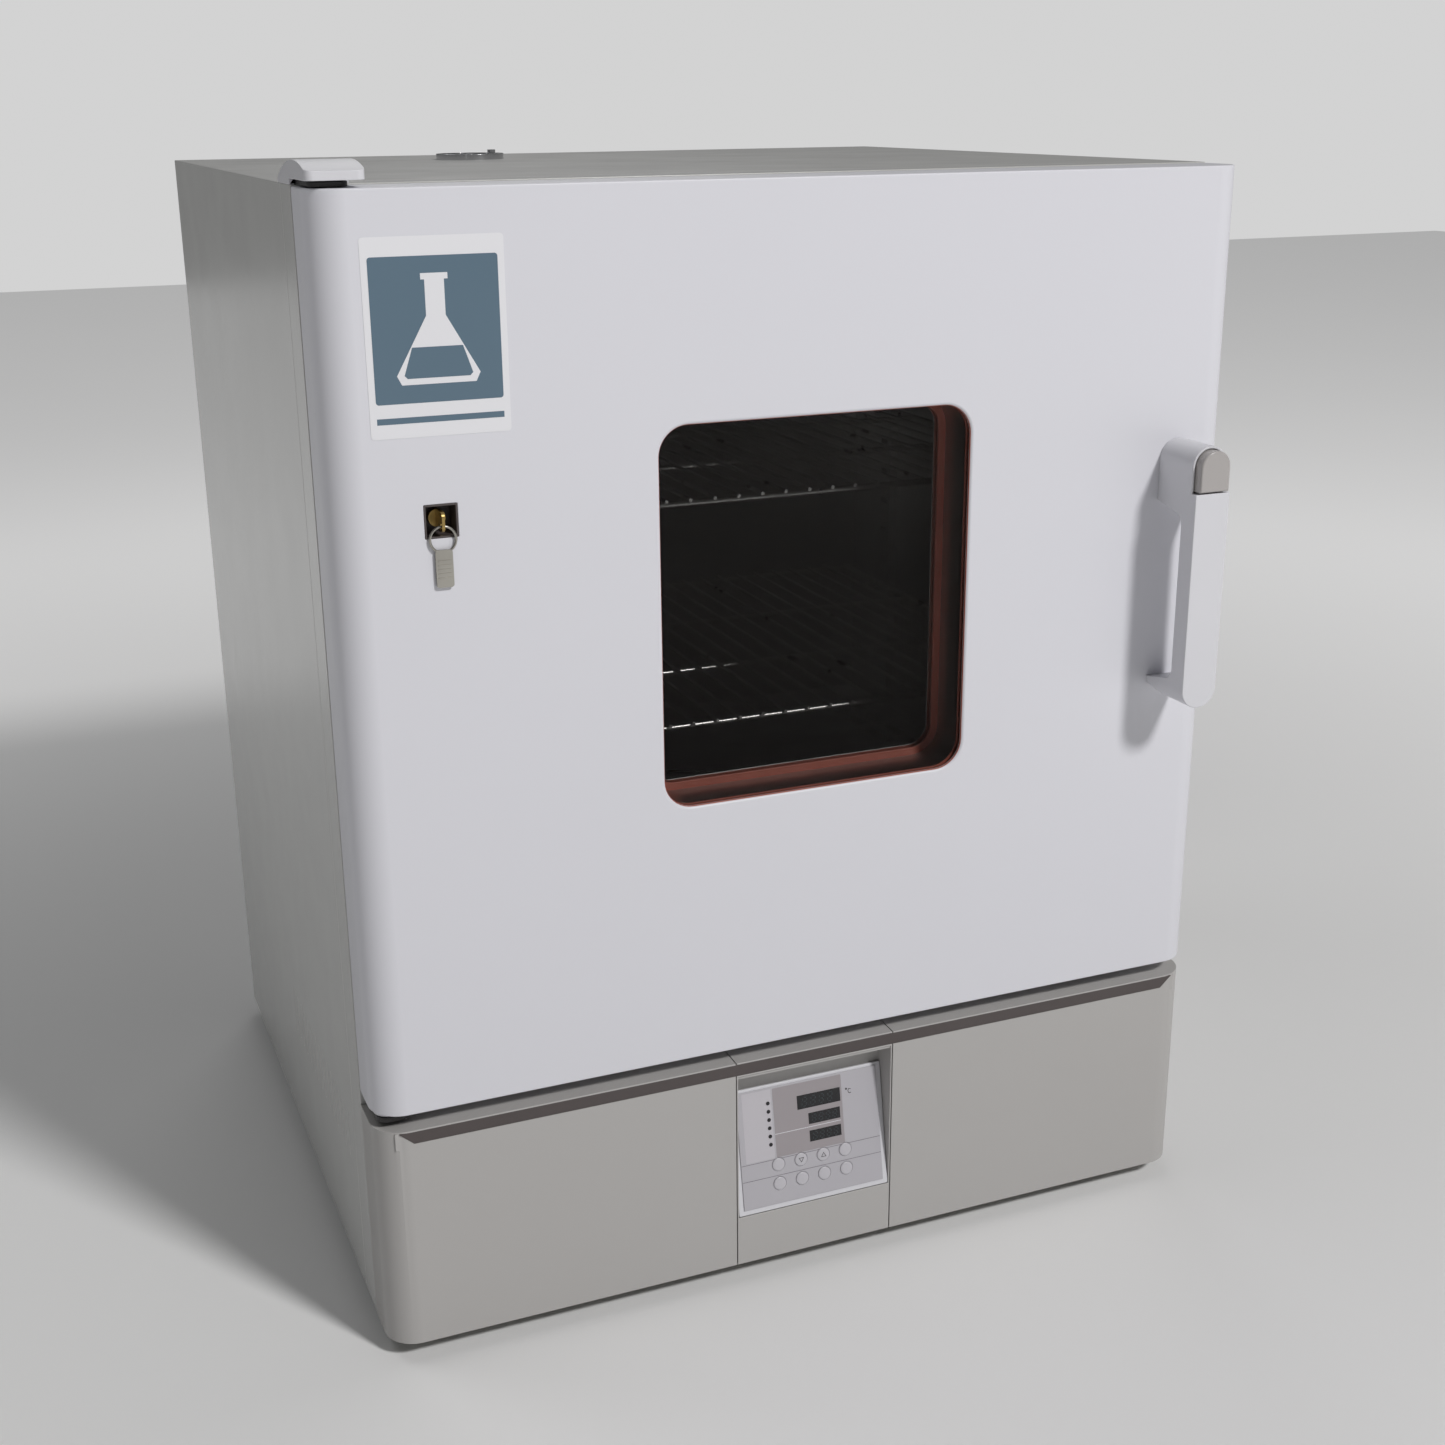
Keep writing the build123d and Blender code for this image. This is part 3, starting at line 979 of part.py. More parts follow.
def switch_key():
    """Lock barrel with the key in it; the key's bow stands upright and has a hole for the ring."""
    key = rod((0, BARREL_FACE, 0), (0, BARREL_END, 0), BARREL_R)
    key += rod((0, KEYSWITCH_D + SEAT, 0), (0, BARREL_END, 0), BARREL_R + BARREL_FLANGE)
    bow = block(span(BOW_T / 2), (-BOW_OUT, BARREL_FACE + 2), span(BOW_W / 2))
    bow = fillet(bow.edges().filter_by(Axis.X).group_by(Axis.Y)[0], 4)
    bow -= rod((-5, BOW_HOLE_Y, BOW_HOLE_Z), (5, BOW_HOLE_Y, BOW_HOLE_Z), BOW_HOLE_R)
    return Pos(KEYSWITCH_X, Y_DOOR, KEYSWITCH_Z) * (key + bow)


def key_ring():
    """Wire ring through the bow, with the spare key hanging from it."""
    top = BOW_HOLE_Z - RING_HANG
    ring = Pos(0, 0, top - RING_R) * Rot(90, 0, 0) * Torus(RING_R, RING_WIRE_R)
    tag_top = top - 2 * RING_R + 2
    tag = block(span(TAG_W / 2), span(TAG_T / 2), (tag_top - TAG_H, tag_top))
    tag = fillet(tag.edges().filter_by(Axis.Y), 2)
    ridge = block(span(TAG_W / 2 - 1.5), (-TAG_T / 2 - TAG_RIDGE, 0), (-1, 0))
    ridges = [Pos(0, 0, tag_top - 7 - i * TAG_RIDGE_PITCH) * ridge for i in range(TAG_RIDGES)]
    return Pos(KEYSWITCH_X, Y_DOOR + BOW_HOLE_Y, KEYSWITCH_Z) * (ring + tag + ridges)


# ---------------------------------------------------------------- feet and screws
def foot_places():
    return [(x, y) for x in span(HALF_W - FOOT_INSET) for y in (Y_FRAME + FOOT_BACK, Y_BACK - FOOT_INSET)]


def feet():
    foot = Cylinder(FOOT_R, FOOT_H, align=(Align.CENTER, Align.CENTER, Align.MIN))
    foot = fillet(foot.edges().group_by(Axis.Z)[0], 2)
    foot -= rod((0, 0, -1), (0, 0, FOOT_H / 2), FOOT_HOLE_R)
    foot -= rod((0, 0, -1), (0, 0, FOOT_H + 1), SCREW_R + SCREW_PLAY)
    return [Pos(x, y, 0) * foot for x, y in foot_places()]


def screws():
    """Foot screws from below and rear-panel screws."""
    foot = rod((0, 0, FOOT_H / 2 - SCREW_HEAD_T), (0, 0, FOOT_H / 2), SCREW_HEAD_R)
    foot += rod((0, 0, FOOT_H / 2 - 1), (0, 0, FOOT_H + SCREW_L), SCREW_R)
    panel = rod((0, 0, 0), (0, PANEL_SCREW_HEAD_T, 0), PANEL_SCREW_HEAD_R)
    panel += rod((0, -SHEET, 0), (0, 1, 0), PANEL_SCREW_R)
    placed = [Pos(x, y, 0) * foot for x, y in foot_places()]
    return placed + [Pos(x, Y_BACK, z) * panel for x, z in rear_screw_places()]


# ---------------------------------------------------------------- all nodes
NODES = {
    "side_panel_left": mirror(side_panel(), about=Plane.YZ),
    "side_panel_right": side_panel_right(),
    "top_panel": top_panel(),
    "rear_panel": rear_panel(),
    "base_plate": base_plate(),
    "equipment_deck": equipment_deck(),
    "front_frame": front_frame(),
    "fascia_left": fascia_side(-1),
    "fascia_right": fascia_side(1),
    "fascia_centre": fascia_centre(),
    "fascia_trim": trim_strip(0),
    "control_bezel": control_bezel(),
    "control_overlay": control_overlay(),
    "display_windows": display_windows(),
    "control_board": control_board(),
    "chamber_liner": chamber_liner(),
    "insulation_slabs": insulation_slabs(),
    "shelf_posts": shelf_posts(),
    "shelf_brackets": shelf_brackets(),
    "shelf_lower": wire_shelf(SHELF_SLOTS[0]),
    "shelf_upper": wire_shelf(SHELF_SLOTS[1]),
    "floor_baffle": floor_baffle(),
    "heater_elements": heater_elements(),
    "fan_wheel": fan_wheel(),
    "fan_shaft": fan_shaft(),
    "fan_motor": fan_motor(),
    "vent_ports": [exhaust_port(), intake_port()],
    "vent_damper": vent_damper(),
    "sensor_probes": sensor_probes(),
    "breaker": breaker(),
    "breaker_toggle": breaker_toggle(),
    "cable_gland": cable_gland(),
    "terminal_block": terminal_block(),
    "hinge_brackets": hinge_brackets(),
    "hinge_bushes": hinge_bushes(),
    "hinge_cover": hinge_cover(),
    "latch_keeper": latch_keeper(),
    "latch_hook": latch_hook(),
    "door_shell": door_shell(),
    "door_liner": door_liner(),
    "door_insulation": door_insulation(),
    "door_gasket": door_gasket(),
    "window_panes": window_panes(),
    "window_seal": window_seal(),
    "window_frame": window_frame(),
    "handle_body": handle_body(),
    "handle_button": handle_button(),
    "key_switch": key_switch(),
    "switch_key": switch_key(),
    "key_ring": key_ring(),
    "feet": feet(),
    "screws": screws(),
}
for number, (u, v) in enumerate(key_places()):
    row = "upper" if number < KEY_COUNT else "lower"
    NODES[f"key_{row}_{number % KEY_COUNT + 1}"] = membrane_key(u, v)

os.makedirs("parts", exist_ok=True)
for name, shape in NODES.items():
    solids = shape if isinstance(shape, list) else [shape]
    export_step(Compound(children=[s for piece in solids for s in piece.solids()]), f"parts/{name}.step")
print(len(NODES), "nodes")
print("hinge axis x, y:", round(HINGE_X, 3), round(HINGE_Y, 3))
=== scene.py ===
import json
import math

import bmesh
import bpy
from mathutils import Matrix, Vector

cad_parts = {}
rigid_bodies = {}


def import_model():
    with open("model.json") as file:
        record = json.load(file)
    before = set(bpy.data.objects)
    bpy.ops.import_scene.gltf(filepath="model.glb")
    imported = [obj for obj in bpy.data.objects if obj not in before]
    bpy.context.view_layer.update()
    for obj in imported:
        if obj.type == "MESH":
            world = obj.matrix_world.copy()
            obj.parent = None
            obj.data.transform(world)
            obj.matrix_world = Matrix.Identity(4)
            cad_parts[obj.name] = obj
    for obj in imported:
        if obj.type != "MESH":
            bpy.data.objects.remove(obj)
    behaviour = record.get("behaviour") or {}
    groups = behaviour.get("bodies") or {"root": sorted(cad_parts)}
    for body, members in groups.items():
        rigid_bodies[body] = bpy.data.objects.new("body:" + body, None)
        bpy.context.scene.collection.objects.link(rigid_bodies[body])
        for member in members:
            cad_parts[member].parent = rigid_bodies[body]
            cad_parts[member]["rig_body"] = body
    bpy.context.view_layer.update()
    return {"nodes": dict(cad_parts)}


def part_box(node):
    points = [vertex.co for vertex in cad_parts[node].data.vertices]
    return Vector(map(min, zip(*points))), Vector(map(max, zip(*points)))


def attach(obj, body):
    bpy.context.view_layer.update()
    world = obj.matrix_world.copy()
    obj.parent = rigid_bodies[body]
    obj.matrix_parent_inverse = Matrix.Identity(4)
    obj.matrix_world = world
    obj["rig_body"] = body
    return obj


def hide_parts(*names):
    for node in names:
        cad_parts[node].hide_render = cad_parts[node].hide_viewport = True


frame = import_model()


# ---------------------------------------------------------------- studio
# A pale floor, a soft light high on the right, weaker ones from the left and from behind, and the
# camera. The floor's paint glows with distance, to meet the backdrop. None of this is the oven's.
def colour(code):
    """A display colour such as "A5A3A2" as the linear colour that shaders take."""
    parts = [int(code[i:i + 2], 16) / 255 for i in (0, 2, 4)]
    return tuple(p / 12.92 if p < 0.04045 else ((p + 0.055) / 1.055) ** 2.4 for p in parts) + (1.0,)


class Value:
    """A socket in a node tree. Arithmetic on it adds Math nodes."""

    def __init__(self, tree, socket):
        self.tree = tree
        self.socket = socket

    def math(self, operation, *others):
        terms = dict(enumerate((self,) + others))
        return self.tree.node("ShaderNodeMath", {"operation": operation}, terms)

    def __add__(self, other):
        return self.math("ADD", other)

    def __sub__(self, other):
        return self.math("SUBTRACT", other)

    def __mul__(self, other):
        return self.math("MULTIPLY", other)

    def __rsub__(self, other):
        return self * -1 + other

    __radd__ = __add__
    __rmul__ = __mul__


class Tree:
    """A node tree, filled one node at a time."""

    def __init__(self, tree):
        self.tree = tree

    def node(self, kind, settings=None, inputs=None, output=0):
        """Adds a node: its settings first, then a number, a value or a link for each named socket."""
        made = self.tree.nodes.new(kind)
        for name, setting in (settings or {}).items():
            if name == "stops":
                for spare in list(made.color_ramp.elements)[1:]:
                    made.color_ramp.elements.remove(spare)
                made.color_ramp.elements[0].position = setting[0][0]
                made.color_ramp.elements[0].color = setting[0][1]
                for place, tint in setting[1:]:
                    made.color_ramp.elements.new(place).color = tint
            else:
                setattr(made, name, setting)
        for key, given in (inputs or {}).items():
            if isinstance(given, Value):
                self.tree.links.new(given.socket, made.inputs[key])
            else:
                made.inputs[key].default_value = given
        return Value(self, made.outputs[output])


class Finish(Tree):
    """A material. What is the same all over is set on the shader; what changes comes from nodes."""

    def __init__(self, name, **constants):
        self.material = bpy.data.materials.new(name)
        self.material.use_nodes = True
        super().__init__(self.material.node_tree)
        self.shader = self.tree.nodes["Principled BSDF"]
        for socket, given in constants.items():
            self.shader.inputs[socket.replace("_", " ")].default_value = given

    def feed(self, socket, given):
        self.tree.links.new(given.socket, self.shader.inputs[socket])

    def place(self, stretch=(1, 1, 1)):
        """Object coordinates, stretched."""
        found = self.node("ShaderNodeTexCoord", output="Object")
        return self.node("ShaderNodeMapping", {}, {"Vector": found, "Scale": stretch})

    def noise(self, size, detail=2.0, stretch=(1, 1, 1)):
        """Soft noise from 0 to 1 whose patches are about that many metres wide."""
        return self.node("ShaderNodeTexNoise", {},
                         {"Vector": self.place(stretch), "Scale": 0.5 / size, "Detail": detail})

    def tint(self, mask, first, second):
        """First colour where the mask is 0, second where it is 1."""
        inputs = {0: mask, 6: first, 7: second}
        return self.node("ShaderNodeMix", {"data_type": "RGBA"}, inputs, output=2)

    def relief(self, height, depth):
        bump = self.node("ShaderNodeBump", {}, {"Height": height, "Distance": depth, "Strength": 1.0})
        self.feed("Normal", bump)


def floor_finish():
    finish = Finish("floor paint", Roughness=0.6, Emission_Strength=0.3)
    finish.feed("Base Color", finish.tint(finish.noise(0.4), colour("F2F2F2"), colour("EEEEEE")))
    finish.relief(finish.noise(0.004), 0.0001)
    place = finish.place()
    far = finish.node("ShaderNodeVectorMath", {"operation": "LENGTH"}, {0: place}, output="Value")
    rise = finish.node("ShaderNodeMapRange", {"interpolation_type": "SMOOTHSTEP"},
                       {"Value": far, "From Min": 0.4, "From Max": 3.0})
    finish.feed("Emission Color", finish.tint(rise, colour("000000"), colour("FFFFFF")))
    return finish.material


def studio_floor():
    mesh = bpy.data.meshes.new("floor")
    reach = 9.0
    corners = [(-reach, -reach, 0), (reach, -reach, 0), (reach, reach, 0), (-reach, reach, 0)]
    mesh.from_pydata(corners, [], [(0, 1, 2, 3)])
    mesh.materials.append(floor_finish())
    floor = bpy.data.objects.new("floor", mesh)
    bpy.context.scene.collection.objects.link(floor)


def soft_light(name, place, aim, width, power, tone):
    lamp = bpy.data.lights.new(name, "AREA")
    lamp.shape = "DISK"
    lamp.size = width
    lamp.energy = power
    lamp.color = tone
    holder = bpy.data.objects.new(name, lamp)
    holder.location = place
    holder.rotation_euler = (Vector(aim) - Vector(place)).to_track_quat("-Z", "Y").to_euler()
    bpy.context.scene.collection.objects.link(holder)


def studio_camera():
    eye = Vector((-0.57737, -1.53704, 0.92241))
    forward = Vector((0.35699, 0.87971, -0.31410))
    right = Vector((0.92548, -0.37870, -0.00879))
    camera = bpy.data.objects.new("camera", bpy.data.cameras.new("camera"))
    camera.data.lens = 47.22
    camera.data.sensor_width = 36.0
    turned = Matrix((right, right.cross(forward), -forward)).transposed().to_4x4()
    camera.matrix_world = Matrix.Translation(eye) @ turned
    bpy.context.scene.collection.objects.link(camera)
    bpy.context.scene.camera = camera


def studio_air():
    """Dim, even light from all round, in front of a pale backdrop."""
    world = bpy.data.worlds.new("studio air")
    world.use_nodes = True
    all_round, behind = 0.12, 0.53
    air = Tree(world.node_tree)
    seen = air.node("ShaderNodeLightPath")
    backdrop = world.node_tree.nodes["Background"]
    backdrop.inputs["Color"].default_value = colour("FFFFFF")
    air.tree.links.new((seen * behind + all_round).socket, backdrop.inputs["Strength"])
    bpy.context.scene.world = world


studio_floor()
studio_camera()
studio_air()
soft_light("key light", (2.0, -4.6, 4.6), (0, 0, 0.45), 0.9, 262, (1.0, 0.99, 0.985))
soft_light("side light", (-1.5, 1.0, 2.6), (-0.35, 0, 0.80), 1.2, 8, (0.99, 1.0, 1.0))
soft_light("back light", (0.6, 2.6, 2.4), (0, 0, 0.6), 1.6, 7, (1.0, 1.0, 1.0))
bpy.context.scene.view_settings.view_transform = "Standard"


# ---------------------------------------------------------------- cabinet panels
# Folded steel sheets, 1.2 mm, stove-enamelled in a glossy off-white. The left, right, top and rear
# panels are screwed to the frame; their outer edges are rolled, not sharp.
def enamel(name, base, shade, grain, depth, roughness):
    """Stove enamel: slow colour drift, a fine skin and slightly uneven gloss."""
    finish = Finish(name, IOR=1.5)
    finish.feed("Base Color", finish.tint(finish.noise(0.12, 3.0), colour(base), colour(shade)))
    finish.feed("Roughness", finish.noise(0.03, 3.0) * 0.10 + roughness)
    finish.relief(finish.noise(grain, 3.0), depth)
    return finish.material


def show(name, mesh, body, material, replaced=()):
    """Makes a finished mesh a piece of the oven that rides on a body."""
    mesh.materials.clear()
    mesh.materials.append(material)
    piece = bpy.data.objects.new(name, mesh)
    bpy.context.scene.collection.objects.link(piece)
    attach(piece, body)
    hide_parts(*replaced)
    return piece


def finished(mesh, bevel=0.0, steps=3, angle=35.0, wall=0.0):
    """The mesh with its sheet thickness and rolled edges, smooth except at folds."""
    holder = bpy.data.objects.new("raw", mesh)
    bpy.context.scene.collection.objects.link(holder)
    if wall:
        sheet = holder.modifiers.new("wall", "SOLIDIFY")
        sheet.thickness = wall
        sheet.offset = -1
    if bevel:
        edge = holder.modifiers.new("rolled edge", "BEVEL")
        edge.width = bevel
        edge.segments = steps
        edge.limit_method = "ANGLE"
        edge.angle_limit = math.radians(angle)
        edge.use_clamp_overlap = True
    even = holder.modifiers.new("even shading", "WEIGHTED_NORMAL")
    even.keep_sharp = True
    mesh.shade_smooth()
    if not bevel:
        mesh.set_sharp_from_angle(angle=math.radians(angle))
    seen = holder.evaluated_get(bpy.context.evaluated_depsgraph_get())
    made = bpy.data.meshes.new_from_object(seen)
    bpy.data.objects.remove(holder)
    return made


def pressed(node):
    """A merged copy of a CAD node's mesh, with its flat faces whole again."""
    shape = bmesh.new()
    shape.from_mesh(frame["nodes"][node].data)
    bmesh.ops.remove_doubles(shape, verts=shape.verts, dist=0.00001)
    bmesh.ops.dissolve_limit(shape, angle_limit=math.radians(0.5), verts=shape.verts, edges=shape.edges)
    mesh = bpy.data.meshes.new(node)
    shape.to_mesh(mesh)
    shape.free()
    return mesh


def rolled(name, node, material, bevel, steps=3, angle=35.0):
    """A CAD node shown with rolled edges and a finish."""
    body = frame["nodes"][node]["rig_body"]
    return show(name, finished(pressed(node), bevel, steps, angle), body, material, [node])


panel_enamel = enamel("off-white enamel", "CFCFCD", "CACAC8", 0.0025, 0.000004, 0.16)
for node in ("side_panel_left", "side_panel_right", "top_panel", "rear_panel", "front_frame"):
    rolled(node + "_sheet", node, panel_enamel, 0.0005, 2)


# ---------------------------------------------------------------- louvres
# Fifteen upright cooling slits low in each side panel. The rear edge of each slit is rolled inwards
# to a hem, so it shows as a bright line beside the dark slit.
class Pattern(Tree):
    """A Geometry Nodes tree with named sizes that makes one mesh of pieces that repeat."""

    def __init__(self, name, **sizes):
        super().__init__(bpy.data.node_groups.new(name, "GeometryNodeTree"))
        self.sizes = sizes
        for size, given in sizes.items():
            kind = "NodeSocketInt" if isinstance(given, int) else "NodeSocketFloat"
            self.tree.interface.new_socket(size, in_out="INPUT", socket_type=kind)
        self.tree.interface.new_socket("Geometry", in_out="OUTPUT", socket_type="NodeSocketGeometry")
        self.inlet = self.tree.nodes.new("NodeGroupInput")

    def size(self, name):
        return Value(self, self.inlet.outputs[name])

    def vector(self, x=0.0, y=0.0, z=0.0):
        return self.node("ShaderNodeCombineXYZ", {}, {"X": x, "Y": y, "Z": z})

    def row(self, count, start, step):
        """Points in a straight row."""
        return self.node("GeometryNodeMeshLine", {},
                         {"Count": count, "Start Location": start, "Offset": step})

    def copies(self, points, piece, turn=(0, 0, 0)):
        return self.node("GeometryNodeInstanceOnPoints", {},
                         {"Points": points, "Instance": piece, "Rotation": turn})

    def bar(self, length, radius, sides=12):
        """Round bar along Z, about its middle."""
        return self.node("GeometryNodeMeshCylinder", {},
                         {"Vertices": sides, "Radius": radius, "Depth": length})

    def joined(self, *pieces):
        made = self.node("GeometryNodeJoinGeometry")
        for piece in pieces:
            self.tree.links.new(piece.socket, made.socket.node.inputs[0])
        return made

    def mesh(self, geometry, material, angle=40.0):
        """The tree's result as a plain mesh, smooth except at its sharp edges."""
        real = self.node("GeometryNodeRealizeInstances", {}, {"Geometry": geometry})
        painted = self.node("GeometryNodeSetMaterial", {}, {"Geometry": real, "Material": material})
        outlet = self.tree.nodes.new("NodeGroupOutput")
        self.tree.links.new(painted.socket, outlet.inputs[0])
        holder = bpy.data.objects.new("pattern", bpy.data.meshes.new("pattern"))
        bpy.context.scene.collection.objects.link(holder)
        modifier = holder.modifiers.new("pattern", "NODES")
        modifier.node_group = self.tree
        for item in self.tree.interface.items_tree:
            if item.in_out == "INPUT":
                modifier[item.identifier] = self.sizes[item.name]
        seen = holder.evaluated_get(bpy.context.evaluated_depsgraph_get())
        made = bpy.data.meshes.new_from_object(seen)
        holder.modifiers.remove(modifier)
        bpy.data.objects.remove(holder)
        return finished(made, angle=angle)


def louvre_hems(side):
    """The hems of one side panel's slits; side is -1 for the left panel and 1 for the right."""
    first_slit, slit_foot = 0.026, 0.105
    low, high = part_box("side_panel_left" if side < 0 else "side_panel_right")
    pattern = Pattern("louvre hems", Count=15, Pitch=0.0166, Slit=0.0030, Height=0.0400, Roll=0.0007)
    roll = pattern.size("Roll")
    outer = -low.x if side < 0 else high.x
    start = pattern.vector((outer - roll) * side, low.y + first_slit + pattern.size("Slit") - roll,
                           low.z + slit_foot + pattern.size("Height") * 0.5)
    points = pattern.row(pattern.size("Count"), start, pattern.vector(y=pattern.size("Pitch")))
    hem = pattern.bar(pattern.size("Height"), roll, 10)
    return pattern.mesh(pattern.copies(points, hem), panel_enamel)


for name, side in (("left", -1), ("right", 1)):
    show("louvre_hems_" + name, louvre_hems(side), "cabinet", panel_enamel)


# ---------------------------------------------------------------- fascia
# The base front in three folded steel sections with round corners, enamelled a lighter grey, and a dark
# strip sunk into the groove along its upper edge, coloured dark as painted shade of that groove.
fascia_enamel = enamel("fascia enamel", "B5B3B1", "B2B0AE", 0.0012, 0.000008, 0.36)
for node in ("fascia_left", "fascia_right", "fascia_centre"):
    rolled(node + "_sheet", node, fascia_enamel, 0.0005, 2)


def moulding(name, base, shade, roughness, grain=0.0006, depth=0.00001):
    """Moulded plastic: a faint spark-eroded grain and slightly uneven gloss."""
    finish = Finish(name, IOR=1.46)
    finish.feed("Base Color", finish.tint(finish.noise(0.05, 2.0), colour(base), colour(shade)))
    finish.feed("Roughness", finish.noise(0.012, 3.0) * 0.12 + roughness)
    finish.relief(finish.noise(grain, 2.0), depth)
    return finish.material


dark_moulding = moulding("dark moulding", "57504F", "4B4443", 0.42)
# Painted shade: the strip's dark colour stands in for the shade in the groove under the door.
rolled("fascia_groove_shade_strip", "fascia_trim", dark_moulding, 0.0003, 2)


# ---------------------------------------------------------------- control panel
# A white moulded bezel set back on a slope, with a printed film glued to it. Lenses of dark film cover
# the three displays and six lamps, and eight domes are formed in the film as keys.
white_moulding = moulding("white moulding", "DADADE", "D4D4D9", 0.30)
rolled("control_bezel_moulding", "control_bezel", white_moulding, 0.0009, 3)
film = moulding("silver film", "B9B7BC", "B5B3B9", 0.38, 0.0004, 0.000006)
rolled("control_overlay_film", "control_overlay", film, 0.0002, 1)

PANEL_LEAN = math.radians(10.4)
BEZEL_T = 0.003
FILM_T = 0.001
bezel_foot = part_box("control_bezel")[0].z
panel_foot = Vector((0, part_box("door_shell")[0].y, bezel_foot + BEZEL_T * math.sin(PANEL_LEAN)))
panel_out = Vector((0, -math.cos(PANEL_LEAN), math.sin(PANEL_LEAN)))
panel_up = Vector((0, math.sin(PANEL_LEAN), math.cos(PANEL_LEAN)))
panel_axes = Matrix((Vector((1, 0, 0)), panel_up, panel_out)).transposed()
on_panel = Matrix.Translation(panel_foot) @ panel_axes.to_4x4()


def plates(outlines, low, high, at=Matrix.Identity(4)):
    """Flat plates of one thickness from outlines in a plane, each a list of (across, up) points."""
    shape = bmesh.new()
    for outline in outlines:
        lower = [shape.verts.new((u, v, low)) for u, v in outline]
        upper = [shape.verts.new((u, v, high)) for u, v in outline]
        shape.faces.new(lower[::-1])
        shape.faces.new(upper)
        for i in range(len(outline)):
            j = (i + 1) % len(outline)
            shape.faces.new((lower[i], lower[j], upper[j], upper[i]))
    bmesh.ops.recalc_face_normals(shape, faces=shape.faces)
    shape.transform(at)
    mesh = bpy.data.meshes.new("plates")
    shape.to_mesh(mesh)
    shape.free()
    return mesh


def oblong(left, right, low, high, radius=0.0, steps=5):
    """Corner points of an upright rectangle in millimetres, its corners round if a radius is given."""
    if not radius:
        found = [(left, low), (right, low), (right, high), (left, high)]
    else:
        centres = ((right - radius, high - radius, 0), (left + radius, high - radius, 90),
                   (left + radius, low + radius, 180), (right - radius, low + radius, 270))
        found = []
        for u, v, start in centres:
            for i in range(steps + 1):
                angle = math.radians(start + 90 * i / steps)
                found.append((u + radius * math.cos(angle), v + radius * math.sin(angle)))
    return [(u / 1000, v / 1000) for u, v in found]


def round_spot(u, v, radius, sides=24):
    turns = [2 * math.pi * i / sides for i in range(sides)]
    return [((u + radius * math.cos(a)) / 1000, (v + radius * math.sin(a)) / 1000) for a in turns]


PRINT_T = 0.00008

print_grey = moulding("print taupe", "A09A9D", "9C9699", 0.40)
print_line = moulding("print line", "77727A", "736E76", 0.40)
print_dark = moulding("print dark", "3B3838", "353232", 0.40)
print_white = moulding("print white", "DEDDE2", "DAD9DF", 0.40)


def printed(name, outlines, material, layer=0, body="cabinet", face=FILM_T):
    """Ink on the film, a tenth of a millimetre thick."""
    low = face + PRINT_T * layer
    show(name, plates(outlines, low, low + PRINT_T, on_panel), body, material)


def strokes(points, width):
    """Outlines of straight strokes of one width along a list of points, in millimetres."""
    outlines = []
    for (u0, v0), (u1, v1) in zip(points, points[1:]):
        along = Vector((u1 - u0, v1 - v0)).normalized() * width / 2
        side = Vector((-along.y, along.x))
        ends = [Vector((u0, v0)) - along - side, Vector((u1, v1)) + along - side,
                Vector((u1, v1)) + along + side, Vector((u0, v0)) - along + side]
        outlines.append([(p.x / 1000, p.y / 1000) for p in ends])
    return outlines


printed("print_display_field", [oblong(-31, 30.4, 43.5, 102.0, 1.0)], print_grey)
print_pale = moulding("print pale", "C4C1C6", "C0BDC3", 0.40)
printed("print_lamp_field", [oblong(-58, -32.5, 43.5, 102.0, 1.0)], print_pale)
printed("print_rules", [oblong(-62.2, 62.2, 42.1, 42.5), oblong(-62.2, 62.2, 28.1, 28.5)], print_line)
printed("print_pale_rule", [oblong(-31, 28, 63.0, 63.5)], print_white, 1)
KEY_FACE = 0.0021
printed("print_down_arrow", strokes([(-12, 39), (-8, 39), (-10, 35.6), (-12, 39)], 0.4), print_dark, 0,
        "key_upper_2", KEY_FACE)
printed("print_up_arrow", strokes([(8, 36), (12, 36), (10, 39.4), (8, 36)], 0.4), print_dark, 0,
        "key_upper_3", KEY_FACE)
degree_arc = [(38.6, 87.9), (37.0, 88.4), (36.2, 87.0), (36.4, 85.4), (37.4, 84.6), (38.6, 84.9)]
degree_mark = [round_spot(34.6, 88.6, 0.9, 12)] + strokes(degree_arc, 0.5)
printed("print_degree_mark", degree_mark, print_dark)


def lens_finish():
    finish = Finish("dark lens", Roughness=0.12, IOR=1.49)
    finish.feed("Base Color", finish.tint(finish.noise(0.01), colour("0F1314"), colour("17121A")))
    finish.relief(finish.noise(0.004), 0.00001)
    return finish.material


rolled("display_lenses", "display_windows", lens_finish(), 0.00015, 2)


def seven_segments(u, v, height):
    """The seven bars of one numeral, unlit, leaning as display numerals do."""
    width = height * 0.52
    thick = height * 0.12
    rows = [(v + height * k, u + height * 0.08 * k * 2) for k in (0, 0.5, 1)]
    bars = [oblong(shift + thick, shift + width - thick, level - thick / 2, level + thick / 2)
            for level, shift in rows]
    for (low, shift), (high, _) in zip(rows, rows[1:]):
        for edge in (0, width):
            left = shift + edge - thick / 2
            bars.append(oblong(left, left + thick, low + thick, high - thick))
    return bars


LENS_FACE = FILM_T + 0.0004
numerals = [bar for i in range(4) for bar in seven_segments(-5.5 + 7.6 * i, 81.9, 7.2)]
for low in (67.0, 52.0):
    numerals += [bar for i in range(4) for bar in seven_segments(2.4 + 6.2 * i, low, 6.2)]
show("display_numerals", plates(numerals, LENS_FACE, LENS_FACE + 0.00004, on_panel), "cabinet",
     moulding("unlit segments", "343C3E", "2E3437", 0.35))


